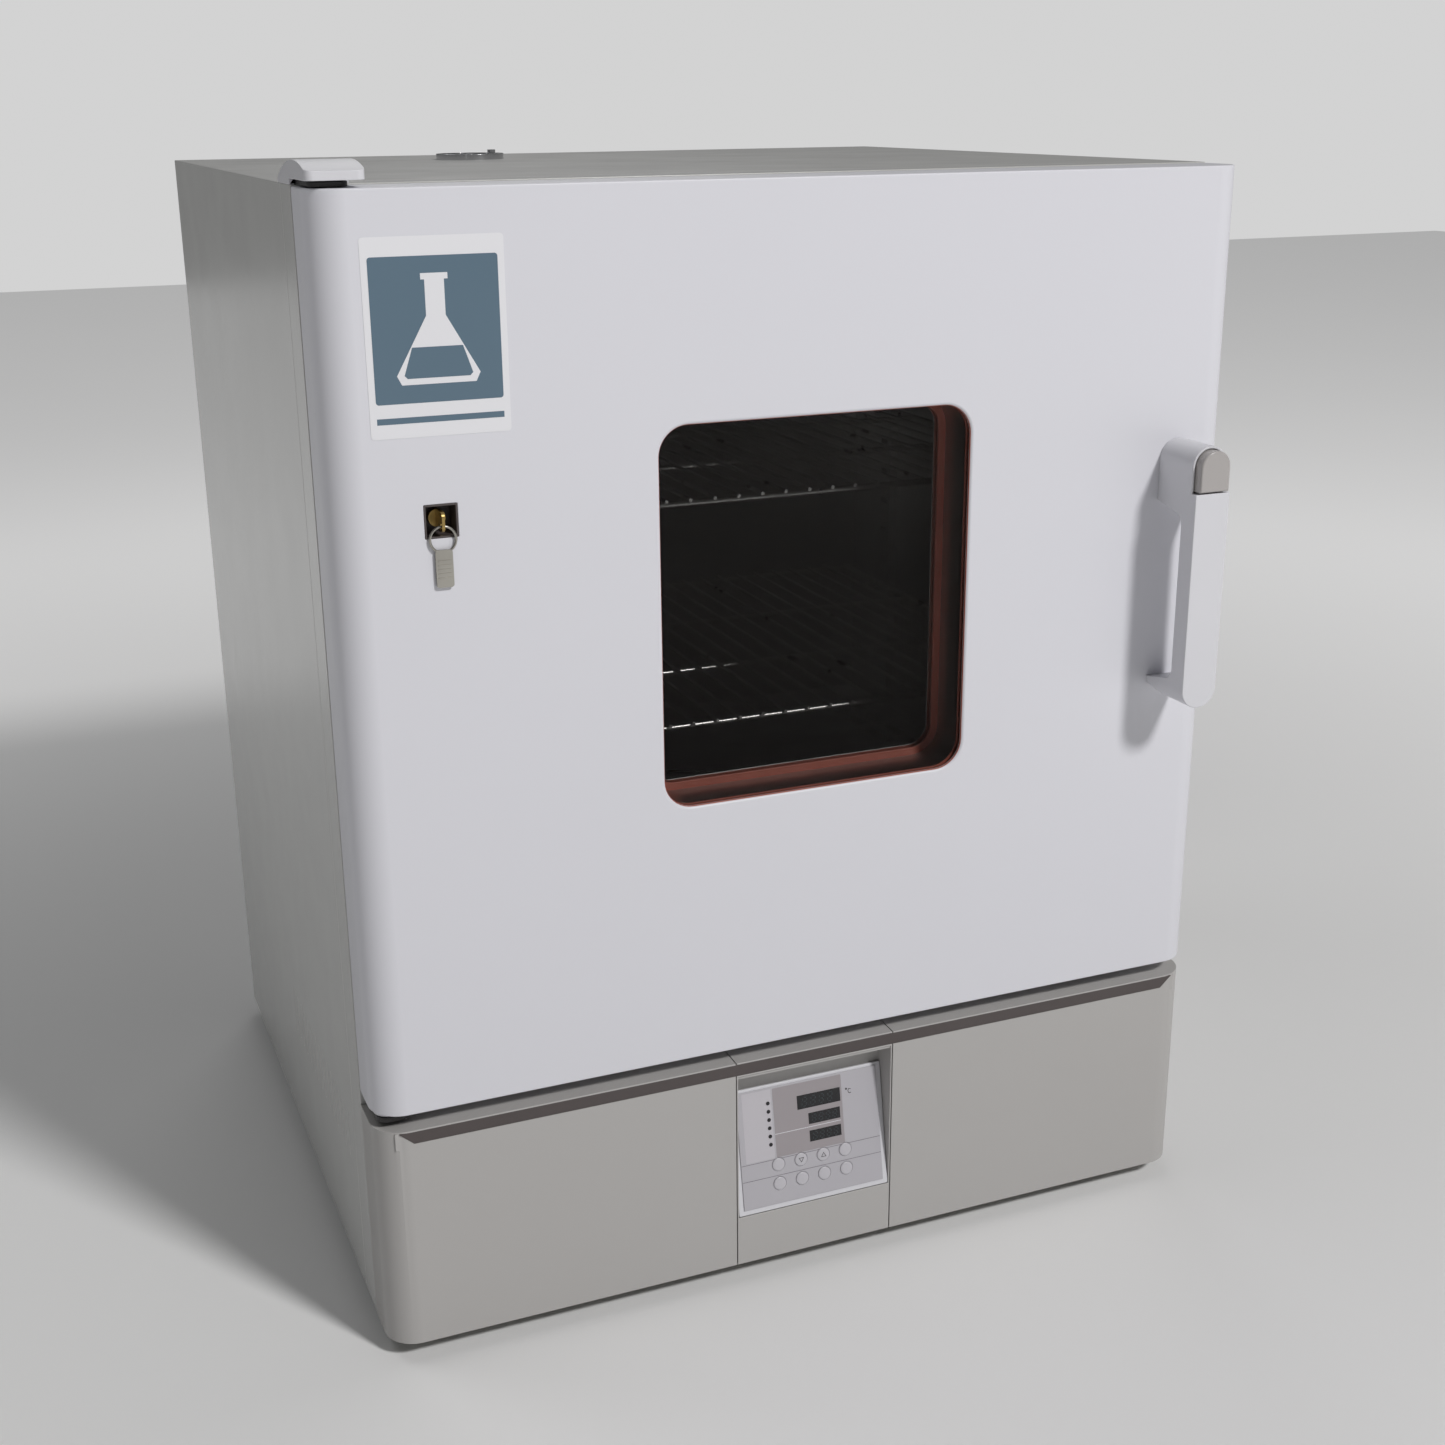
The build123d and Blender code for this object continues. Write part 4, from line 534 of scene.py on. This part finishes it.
def turned(profile, sides=48):
    """A solid turned about Z from (radius, height) points that start and end on the axis."""
    shape = bmesh.new()
    rings = []
    for radius, height in profile:
        if radius < 1e-6:
            rings.append([shape.verts.new((0, 0, height))])
        else:
            angles = [2 * math.pi * i / sides for i in range(sides)]
            rings.append([shape.verts.new((radius * math.cos(a), radius * math.sin(a), height))
                          for a in angles])
    for lower, upper in zip(rings, rings[1:]):
        for i in range(sides):
            corners = [lower[i % len(lower)], lower[(i + 1) % len(lower)],
                       upper[(i + 1) % len(upper)], upper[i % len(upper)]]
            corners = list(dict.fromkeys(corners))
            if len(corners) > 2:
                shape.faces.new(corners)
    bmesh.ops.recalc_face_normals(shape, faces=shape.faces)
    mesh = bpy.data.meshes.new("turned")
    shape.to_mesh(mesh)
    shape.free()
    return mesh


def key_dome(node, material):
    """One domed key: a shallow crown with a rolled shoulder."""
    low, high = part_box(node)
    middle = (low + high) / 2
    radius = (high.x - low.x) / 2
    rise = 0.0016
    profile = [(0, -rise / 2), (radius, -rise / 2), (radius, -rise * 0.2)]
    for i in range(1, 9):
        angle = math.pi / 2 * i / 8
        profile.append((radius * (0.55 + 0.45 * math.cos(angle)),
                        rise * (-0.2 + 0.55 * math.sin(angle))))
    profile += [(radius * 0.3, rise * 0.44), (0, rise * 0.5)]
    mesh = turned(profile)
    mesh.transform(Matrix.Translation(middle) @ on_panel.to_3x3().to_4x4())
    mesh = finished(mesh, angle=60.0)
    show(node + "_dome", mesh, node, material, [node])


key_film = moulding("key film", "C3C1C6", "BEBCC2", 0.26)
for node in sorted(n for n in frame["nodes"] if n.startswith("key_") and n[-1].isdigit()):
    key_dome(node, key_film)

board = frame["nodes"]["control_board"].data
board.materials.clear()
board.materials.append(moulding("board lacquer", "1F5A36", "2A6A41", 0.35))


# ---------------------------------------------------------------- door
# A pressed steel pan, 50 mm deep, with round upright corners and a rolled lip round the window, coated
# in a fine-textured white enamel. A stainless sheet closes it from behind; a square hole takes the lock.
door_enamel = enamel("white door enamel", "DCDCE2", "DADAE0", 0.0008, 0.00002, 0.38)
SHEET = 0.0012
DOOR_CORNER = 0.025
DOOR_FOLD = 0.0012
WINDOW_LIP = 0.0028
WINDOW_LIP_DEPTH = 0.0031
WINDOW_CORNER = 0.022
PANE_EDGE = 0.008
BUSH_R = 0.008


def pan_outline(half, front, back, corner, steps=12):
    """A pan seen from above, from its left rear edge round both front corners to its right."""
    points = [(-half, back)]
    for side, start in ((-1, 180), (1, 270)):
        for i in range(steps + 1):
            angle = math.radians(start + 90 * i / steps)
            points.append((side * (half - corner) + corner * math.cos(angle),
                           front + corner + corner * math.sin(angle)))
    points.append((half, back))
    return points


def opening(shape, box, radius, rim, depth, front):
    """A rolled lip from a pan's face into an opening; gives the ring of corners on the face."""
    stack = []
    for i in range(9):
        angle = math.pi / 2 * min(i, 8) / 8
        grow = rim * (1 - math.sin(angle))
        back = rim * (1 - math.cos(angle))
        outline = oblong(*[1000 * p for p in (box[0] - grow, box[1] + grow, box[2] - grow, box[3] + grow,
                                              radius + grow)], steps=10)
        stack.append([shape.verts.new((x, front + back, z)) for x, z in outline])
    outline = oblong(*[1000 * p for p in (*box, radius)], steps=10)
    stack.append([shape.verts.new((x, front + depth, z)) for x, z in outline])
    for first, second in zip(stack, stack[1:]):
        for i in range(len(first)):
            j = (i + 1) % len(first)
            shape.faces.new((first[i], first[j], second[j], second[i]))
    return stack[0]


def ring_edges(shape, ring):
    """The closed run of edges through a ring of corners."""
    found = []
    for corner, after in zip(ring, ring[1:] + ring[:1]):
        shared = [e for e in corner.link_edges if after in e.verts]
        found.append(shared[0] if shared else shape.edges.new((corner, after)))
    return found


def door_pan():
    low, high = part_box("door_shell")
    lock_low, lock_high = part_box("key_switch")
    pane_low, pane_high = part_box("window_panes")
    bush_low, bush_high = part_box("hinge_bushes")
    hinge = (bush_low + bush_high) / 2
    shape = bmesh.new()
    quarter = [(DOOR_FOLD * (1 - math.sin(a)), DOOR_FOLD * (1 - math.cos(a)))
               for a in (0, math.pi / 8, math.pi / 4, 3 * math.pi / 8, math.pi / 2)]
    levels = [(low.z + rise, inset) for inset, rise in quarter] + [(high.z - rise, inset)
                                                                   for inset, rise in quarter[::-1]]
    rows = []
    for z, inset in levels:
        outline = pan_outline(high.x - inset, low.y + inset, high.y, DOOR_CORNER - inset)
        rows.append([shape.verts.new((x, y, z)) for x, y in outline])
    middle = len(quarter)
    flat = len(rows[0]) // 2
    for level, (lower, upper) in enumerate(zip(rows, rows[1:]), start=1):
        for i in range(len(lower) - 1):
            if level != middle or i != flat - 1:
                shape.faces.new((lower[i], lower[i + 1], upper[i + 1], upper[i]))
    face = [rows[middle - 1][flat - 1], rows[middle - 1][flat],
            rows[middle][flat], rows[middle][flat - 1]]
    window = (pane_low.x + PANE_EDGE, pane_high.x - PANE_EDGE,
              pane_low.z + PANE_EDGE, pane_high.z - PANE_EDGE)
    gap = 0.0002
    lock = (lock_low.x - gap, lock_high.x + gap, lock_low.z - gap, lock_high.z + gap)
    rims = [opening(shape, window, WINDOW_CORNER, WINDOW_LIP, WINDOW_LIP_DEPTH, low.y),
            opening(shape, lock, 0.0008, 0.0006, SHEET, low.y)]
    edges = [e for ring in [face] + rims for e in ring_edges(shape, ring)]
    bmesh.ops.triangle_fill(shape, use_beauty=True, use_dissolve=False, edges=edges)
    for row in (rows[0], rows[-1]):
        z = row[0].co.z
        sides = 32
        turns = [2 * math.pi * i / sides for i in range(sides)]
        bush = [shape.verts.new((hinge.x + BUSH_R * math.cos(a), hinge.y + BUSH_R * math.sin(a), z))
                for a in turns]
        edges = [e for ring in (row, bush) for e in ring_edges(shape, ring)]
        bmesh.ops.triangle_fill(shape, use_beauty=True, use_dissolve=False, edges=edges)
    bmesh.ops.recalc_face_normals(shape, faces=shape.faces)
    mesh = bpy.data.meshes.new("door pan")
    shape.to_mesh(mesh)
    shape.free()
    return mesh


show("door_pan", finished(door_pan(), wall=SHEET, angle=50.0), "door", door_enamel,
     ["door_shell"])


def steel(name, base, shade, roughness, along=(1, 1, 60)):
    """Brushed stainless sheet: fine scratches in one direction and uneven gloss."""
    finish = Finish(name, Metallic=1.0)
    grain = finish.noise(0.02, 3.0, along)
    finish.feed("Base Color", finish.tint(grain, colour(base), colour(shade)))
    finish.feed("Roughness", grain * 0.16 + roughness)
    finish.relief(grain, 0.000012)
    return finish.material


stainless = steel("brushed stainless", "C9C8C6", "B4B3B1", 0.24)
rolled("door_liner_sheet", "door_liner", stainless, 0.0004, 2)


def rubber(name, base, shade, roughness):
    """Extruded silicone: matt, a little mottled, with fine drag lines."""
    finish = Finish(name, Sheen_Weight=0.15)
    finish.feed("Base Color", finish.tint(finish.noise(0.01, 3.0), colour(base), colour(shade)))
    finish.feed("Roughness", finish.noise(0.004) * 0.15 + roughness)
    finish.relief(finish.noise(0.0008, 2.0), 0.00002)
    return finish.material


silicone = rubber("red silicone", "B0604F", "9A5040", 0.38)
rolled("window_seal_channels", "window_seal", silicone, 0.0006, 2)
rolled("window_tunnel", "window_frame", stainless, 0.0002, 1)
rolled("door_gasket_ring", "door_gasket", silicone, 0.0014, 3)


def pane_finish():
    finish = Finish("tinted glass", IOR=1.46, Specular_IOR_Level=0.2)
    finish.feed("Base Color", finish.tint(finish.noise(0.2), colour("14100F"), colour("100D0C")))
    finish.feed("Roughness", finish.noise(0.05) * 0.01 + 0.02)
    finish.feed("Alpha", finish.noise(0.2) * 0.03 + 0.17)
    return finish.material


rolled("window_glass", "window_panes", pane_finish(), 0.0003, 1)


# ---------------------------------------------------------------- door label
# A printed paper label stuck to the door above the lock: a slate field with a plain flask on a pale
# ground. It carries no name and no mark.
door_low, door_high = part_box("door_shell")
on_label = Matrix.Translation((door_low.x + 0.0785, door_low.y, door_high.z - 0.0947))
on_label @= Matrix(((1, 0, 0), (0, 0, -1), (0, 1, 0))).to_4x4()
PAPER_T = 0.00025
LABEL_INK_T = 0.0001
neck, shoulder, foot = 6.5, 9.0, 28.0
flask = [(-shoulder, 41), (shoulder, 41), (shoulder, 37), (neck, 37), (neck, 14), (foot, -24),
         (foot - 3, -30), (3 - foot, -30), (-foot, -24), (-neck, 14), (-neck, 37), (-shoulder, 37)]
liquid = [(-17, -6), (17, -6), (foot - 5, -24), (foot - 7, -26), (7 - foot, -26), (5 - foot, -24)]
paper_inks = ("E9E9EC", "E4E4E8")
slate_inks = ("5E7484", "597080")
label_prints = (
    ("label_paper", [oblong(-47.5, 47.5, -64.5, 64.5, 2.5)], paper_inks, 0.0),
    ("label_field", [oblong(-43, 43, -42, 52, 2.0), oblong(-43, 43, -55, -51)], slate_inks, PAPER_T),
    ("label_flask", [[(u / 1000, v / 1000) for u, v in flask]], paper_inks, PAPER_T + LABEL_INK_T),
    ("label_liquid", [[(u / 1000, v / 1000) for u, v in liquid]], slate_inks,
     PAPER_T + 2 * LABEL_INK_T))
for name, outlines, inks, height in label_prints:
    thickness = LABEL_INK_T if height else PAPER_T
    mesh = plates(outlines, height, height + thickness, on_label)
    show(name, mesh, "door", moulding(name + " ink", *inks, 0.32))


# ---------------------------------------------------------------- handle
# A hollow white moulding bolted through the door: a wide upper foot that houses the latch rod, a soft
# grip and a small curved lower foot. A grey thumb button slides in its top.
rolled("handle_moulding", "handle_body", white_moulding, 0.0032, 5, 40.0)
button_moulding = moulding("grey moulding", "AEAAA8", "AAA6A4", 0.24)
rolled("handle_button_moulding", "handle_button", button_moulding, 0.0010, 3, 40.0)


# ---------------------------------------------------------------- hinge
# Steel plates with pins above and below the door, plastic bushes in the door, and a white moulded cap
# that hides the upper plate.
zinc = steel("zinc plate", "B9B8B2", "A5A49F", 0.32, (1, 1, 8))
# Painted shade: the hinge plates are coloured near-black so the shaded slot between cap and door reads
# dark.
shade_black_steel = moulding("blacked steel", "2C2A2B", "242223", 0.40)
rolled("hinge_cap", "hinge_cover", white_moulding, 0.0012, 3)
rolled("hinge_plates", "hinge_brackets", shade_black_steel, 0.0004, 2)
rolled("hinge_bush_mouldings", "hinge_bushes", white_moulding, 0.0004, 2)


# ---------------------------------------------------------------- lock
# A square moulded cup let into the door. Its floor carries a brass barrel with a key in it, and a wire
# ring through the key's bow holds a flat spare.
rolled("lock_cup", "key_switch", dark_moulding, 0.0003, 2)
brass = steel("worn brass", "B59C63", "8F7A4C", 0.28, (1, 1, 1))
rolled("lock_barrel_and_key", "switch_key", brass, 0.0003, 2)
rolled("ring_and_spare_key", "key_ring", steel("nickel plate", "B5B2AA", "8E8B84", 0.25, (1, 1, 1)),
       0.00025, 2)


# ---------------------------------------------------------------- exhaust port
# A chromed collar on a tube through the roof, with a drilled disc that turns to close its two holes.
chrome = steel("chrome plate", "D2D3D5", "C6C7C9", 0.08, (1, 1, 1))
for node in ("vent_ports", "vent_damper"):
    rolled(node + "_turned", node, chrome, 0.0005, 2)


# ---------------------------------------------------------------- chamber
# A seam-welded stainless box with slotted channels on its side walls, clips hooked into them, and a
# perforated floor plate over the fan.
for node in ("chamber_liner", "shelf_posts", "shelf_brackets", "floor_baffle", "sensor_probes"):
    rolled(node + "_sheet", node, stainless, 0.0002, 1)


# ---------------------------------------------------------------- shelves
# Two shelves of drawn stainless wire: a rod down each side, four cross bars, and twenty-seven thin wires
# welded on top of the bars.
def wire_shelf(node):
    low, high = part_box(node)
    pattern = Pattern("wire shelf", Wires=27, Pitch=0.020, Wire=0.0015, Bars=4, Bar=0.0026, Rod=0.0030)
    rod, bar, wire = (pattern.size(name) for name in ("Rod", "Bar", "Wire"))
    middle = (low + high) / 2
    length = high.y - low.y
    width = high.x - low.x
    level = low.z + rod
    start = pattern.vector(middle.x - (pattern.size("Wires") - 1) * pattern.size("Pitch") * 0.5, middle.y,
                           high.z - wire)
    lengthwise = (math.pi / 2, 0, 0)
    crosswise = (0, math.pi / 2, 0)
    wire_row = pattern.row(pattern.size("Wires"), start, pattern.vector(pattern.size("Pitch")))
    wires = pattern.copies(wire_row, pattern.bar(length - 0.0006, wire), lengthwise)
    step = (length - 4 * bar) * (1 / 3)
    bar_row = pattern.row(pattern.size("Bars"), pattern.vector(middle.x, low.y + 2 * bar, level),
                          pattern.vector(y=step))
    bars = pattern.copies(bar_row, pattern.bar(width - 2 * rod, bar), crosswise)
    rod_row = pattern.row(2, pattern.vector(low.x + rod, middle.y, level),
                          pattern.vector(width - 2 * rod))
    rods = pattern.copies(rod_row, pattern.bar(length, rod, 20), lengthwise)
    return pattern.mesh(pattern.joined(wires, bars, rods), drawn_wire)


drawn_wire = steel("drawn wire", "CFCECB", "B6B5B2", 0.22, (1, 1, 1))
for node in ("shelf_lower", "shelf_upper"):
    show(node + "_wires", wire_shelf(node), node, drawn_wire, [node])


# ---------------------------------------------------------------- fan
# An aluminium blower wheel: a spun back plate with a turned hub, twenty-four curved blades and a shroud
# ring. A nut holds it on the motor's shaft.
def fan_wheel():
    low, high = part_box("fan_wheel")
    middle = (low + high) / 2
    radius = (high.x - low.x) / 2
    count = 24
    pattern = Pattern("blower blades", Blades=count, Lean=math.radians(35), Chord=0.026, Wall=0.0012,
                      Plate=0.0015)
    chord = pattern.size("Chord")
    height = high.z - low.z
    ring = pattern.node("GeometryNodeMeshCircle", {},
                        {"Vertices": pattern.size("Blades"), "Radius": radius - 0.5 * chord - 0.001})
    sweep = math.radians(56)
    bow = pattern.node("GeometryNodeCurveArc", {"mode": "RADIUS"},
                       {"Resolution": 9, "Radius": chord, "Start Angle": 0.0, "Sweep Angle": sweep})
    strip = pattern.node("GeometryNodeCurvePrimitiveQuadrilateral", {},
                         {"Width": pattern.size("Wall"), "Height": height - pattern.size("Plate")})
    blade = pattern.node("GeometryNodeCurveToMesh", {},
                         {"Curve": bow, "Profile Curve": strip, "Fill Caps": True})
    to_ring = pattern.vector(chord * -0.8, chord * -0.45)
    blade = pattern.node("GeometryNodeTransform", {}, {"Geometry": blade, "Translation": to_ring})
    turn = pattern.node("GeometryNodeInputIndex") * (2 * math.pi / count) + pattern.size("Lean")
    blades = pattern.copies(ring, blade, pattern.vector(z=turn))
    mesh = pattern.mesh(blades, cast_aluminium)
    mesh.transform(Matrix.Translation(middle))
    return mesh


def wheel_plates():
    """Back plate and hub in one turning, and the shroud ring above the blades."""
    low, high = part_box("fan_wheel")
    middle = (low + high) / 2
    radius = (high.x - low.x) / 2
    plate, hub, hub_height, bore, shroud = 0.0015, 0.016, 0.026, 0.004, 0.025
    top = high.z - low.z
    back = [(bore, 0), (radius, 0), (radius, plate), (hub + 0.003, plate), (hub, plate + 0.003),
            (hub, hub_height - 0.001), (hub - 0.001, hub_height), (bore, hub_height), (bore, 0)]
    ring = [(radius - shroud, top - plate), (radius, top - plate), (radius, top), (radius - shroud, top),
            (radius - shroud, top - plate)]
    shape = bmesh.new()
    for profile in (back, ring):
        shape.from_mesh(turned(profile, 72))
    bmesh.ops.remove_doubles(shape, verts=shape.verts, dist=0.00001)
    bmesh.ops.recalc_face_normals(shape, faces=shape.faces)
    shape.transform(Matrix.Translation((middle.x, middle.y, low.z)))
    mesh = bpy.data.meshes.new("wheel plates")
    shape.to_mesh(mesh)
    shape.free()
    return finished(mesh, angle=35.0)


cast_aluminium = steel("aluminium", "C4C6C8", "AEB0B3", 0.34, (1, 1, 1))
show("fan_blades", fan_wheel(), "fan", cast_aluminium, ["fan_wheel"])
show("fan_plates", wheel_plates(), "fan", cast_aluminium, ["fan_wheel"])
rolled("fan_shaft_and_nut", "fan_shaft", zinc, 0.0003, 2)
motor_paint = moulding("motor paint", "3A3D40", "323538", 0.45, 0.0015, 0.00003)
rolled("fan_motor_can", "fan_motor", motor_paint, 0.0008, 2)


# ---------------------------------------------------------------- heaters
# Two tubular heaters round the fan. Their nickel-steel sheath has turned straw and blue with heat.
def heat_blued():
    finish = Finish("heat-blued sheath", Metallic=1.0)
    bands = finish.noise(0.03, 3.0)
    stops = ((0.25, colour("5A5550")), (0.45, colour("7A6A52")),
             (0.6, colour("54505C")), (0.8, colour("46505E")))
    tint = finish.node("ShaderNodeValToRGB", {"stops": stops}, {"Fac": bands})
    finish.feed("Base Color", tint)
    finish.feed("Roughness", bands * 0.2 + 0.28)
    finish.relief(finish.noise(0.001), 0.00003)
    return finish.material


sheath = heat_blued()
rolled("heater_loops", "heater_elements", sheath, 0.0002, 1)


# ---------------------------------------------------------------- mineral wool
# Bonded slabs round the chamber and a pad in the door, yellowish, matted and fibrous.
def wool():
    finish = Finish("mineral wool", Roughness=0.95, Sheen_Weight=0.3)
    fibre = finish.noise(0.0015, 6.0, (1, 6, 1))
    finish.feed("Base Color", finish.tint(fibre, colour("B7A878"), colour("8F8258")))
    finish.relief(fibre, 0.0008)
    return finish.material


mineral_wool = wool()
for node in ("insulation_slabs", "door_insulation"):
    rolled(node + "_wool", node, mineral_wool, 0.0015, 2)


# ---------------------------------------------------------------- base and electrics
# Zinc-plated base plate and deck, the supply terminals with the heater relay, the main breaker, the
# supply gland and the latch's hook and keeper.
for node in ("base_plate", "equipment_deck", "latch_keeper", "latch_hook"):
    rolled(node + "_plate", node, zinc, 0.0003, 2)
black_moulding = moulding("black moulding", "2B2A2C", "242325", 0.38)
for node in ("breaker", "terminal_block", "cable_gland"):
    rolled(node + "_moulding", node, black_moulding, 0.0005, 2)
toggle_moulding = moulding("toggle moulding", "D5D4D0", "CFCEC9", 0.30)
rolled("breaker_toggle_moulding", "breaker_toggle", toggle_moulding, 0.0005, 2)
foot_rubber = rubber("black rubber", "2A2A2B", "222223", 0.62)
rolled("rubber_feet", "feet", foot_rubber, 0.0008, 2)


# ---------------------------------------------------------------- screws
# Zinc-plated pan-head screws with a cross recess, cold-headed from wire. Eight hold the rear panel
# and four hold the feet.
def screw_heads(rows, radius, height, turn):
    """Screw heads in rows, each row given as a count, a start and a step."""
    pattern = Pattern("screw heads", Head=radius, Height=height, Slot=radius * 0.22)
    head = pattern.bar(pattern.size("Height"), pattern.size("Head"), 28)
    cut = pattern.size("Slot")
    slots = [pattern.vector(across, along, pattern.size("Height"))
             for across, along in ((cut, cut * 5), (cut * 5, cut))]
    cutters = [pattern.node("GeometryNodeMeshCube", {}, {"Size": slot}) for slot in slots]
    half_way = pattern.vector(z=pattern.size("Height") * 0.5)
    cross = pattern.node("GeometryNodeTransform", {},
                         {"Geometry": pattern.joined(*cutters), "Translation": half_way})
    recessed = pattern.node("GeometryNodeMeshBoolean", {"operation": "DIFFERENCE"},
                            {"Mesh 1": head, "Mesh 2": cross})
    placed = [pattern.copies(pattern.row(*row), recessed, turn) for row in rows]
    return pattern.mesh(pattern.joined(*placed), zinc)


rear_low, rear_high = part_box("rear_panel")
feet_low, feet_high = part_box("feet")
SCREW_IN = 0.020
HEAD_T = 0.0020
reach = rear_high.x - SCREW_IN
seat_y = rear_high.y + HEAD_T / 2
middle_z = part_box("equipment_deck")[0].z - 1.5 * SCREW_IN
rear_rows = [(3, (-reach, seat_y, z), (reach, 0, 0)) for z in (middle_z, rear_high.z - SCREW_IN)]
rear_rows.append((2, (-reach, seat_y, rear_low.z + SCREW_IN), (2 * reach, 0, 0)))
rear_heads = screw_heads(rear_rows, 0.004, HEAD_T, (-math.pi / 2, 0, 0))
show("rear_panel_screws", rear_heads, "cabinet", zinc, ["screws"])
FOOT_R = 0.020
FOOT_HEAD_Z = 0.0055
foot_x = feet_high.x - FOOT_R
foot_rows = [(2, (-foot_x, y, FOOT_HEAD_Z), (2 * foot_x, 0, 0))
             for y in (feet_low.y + FOOT_R, feet_high.y - FOOT_R)]
foot_heads = screw_heads(foot_rows, 0.005, 0.004, (math.pi, 0, 0))
show("foot_screws", foot_heads, "cabinet", zinc)
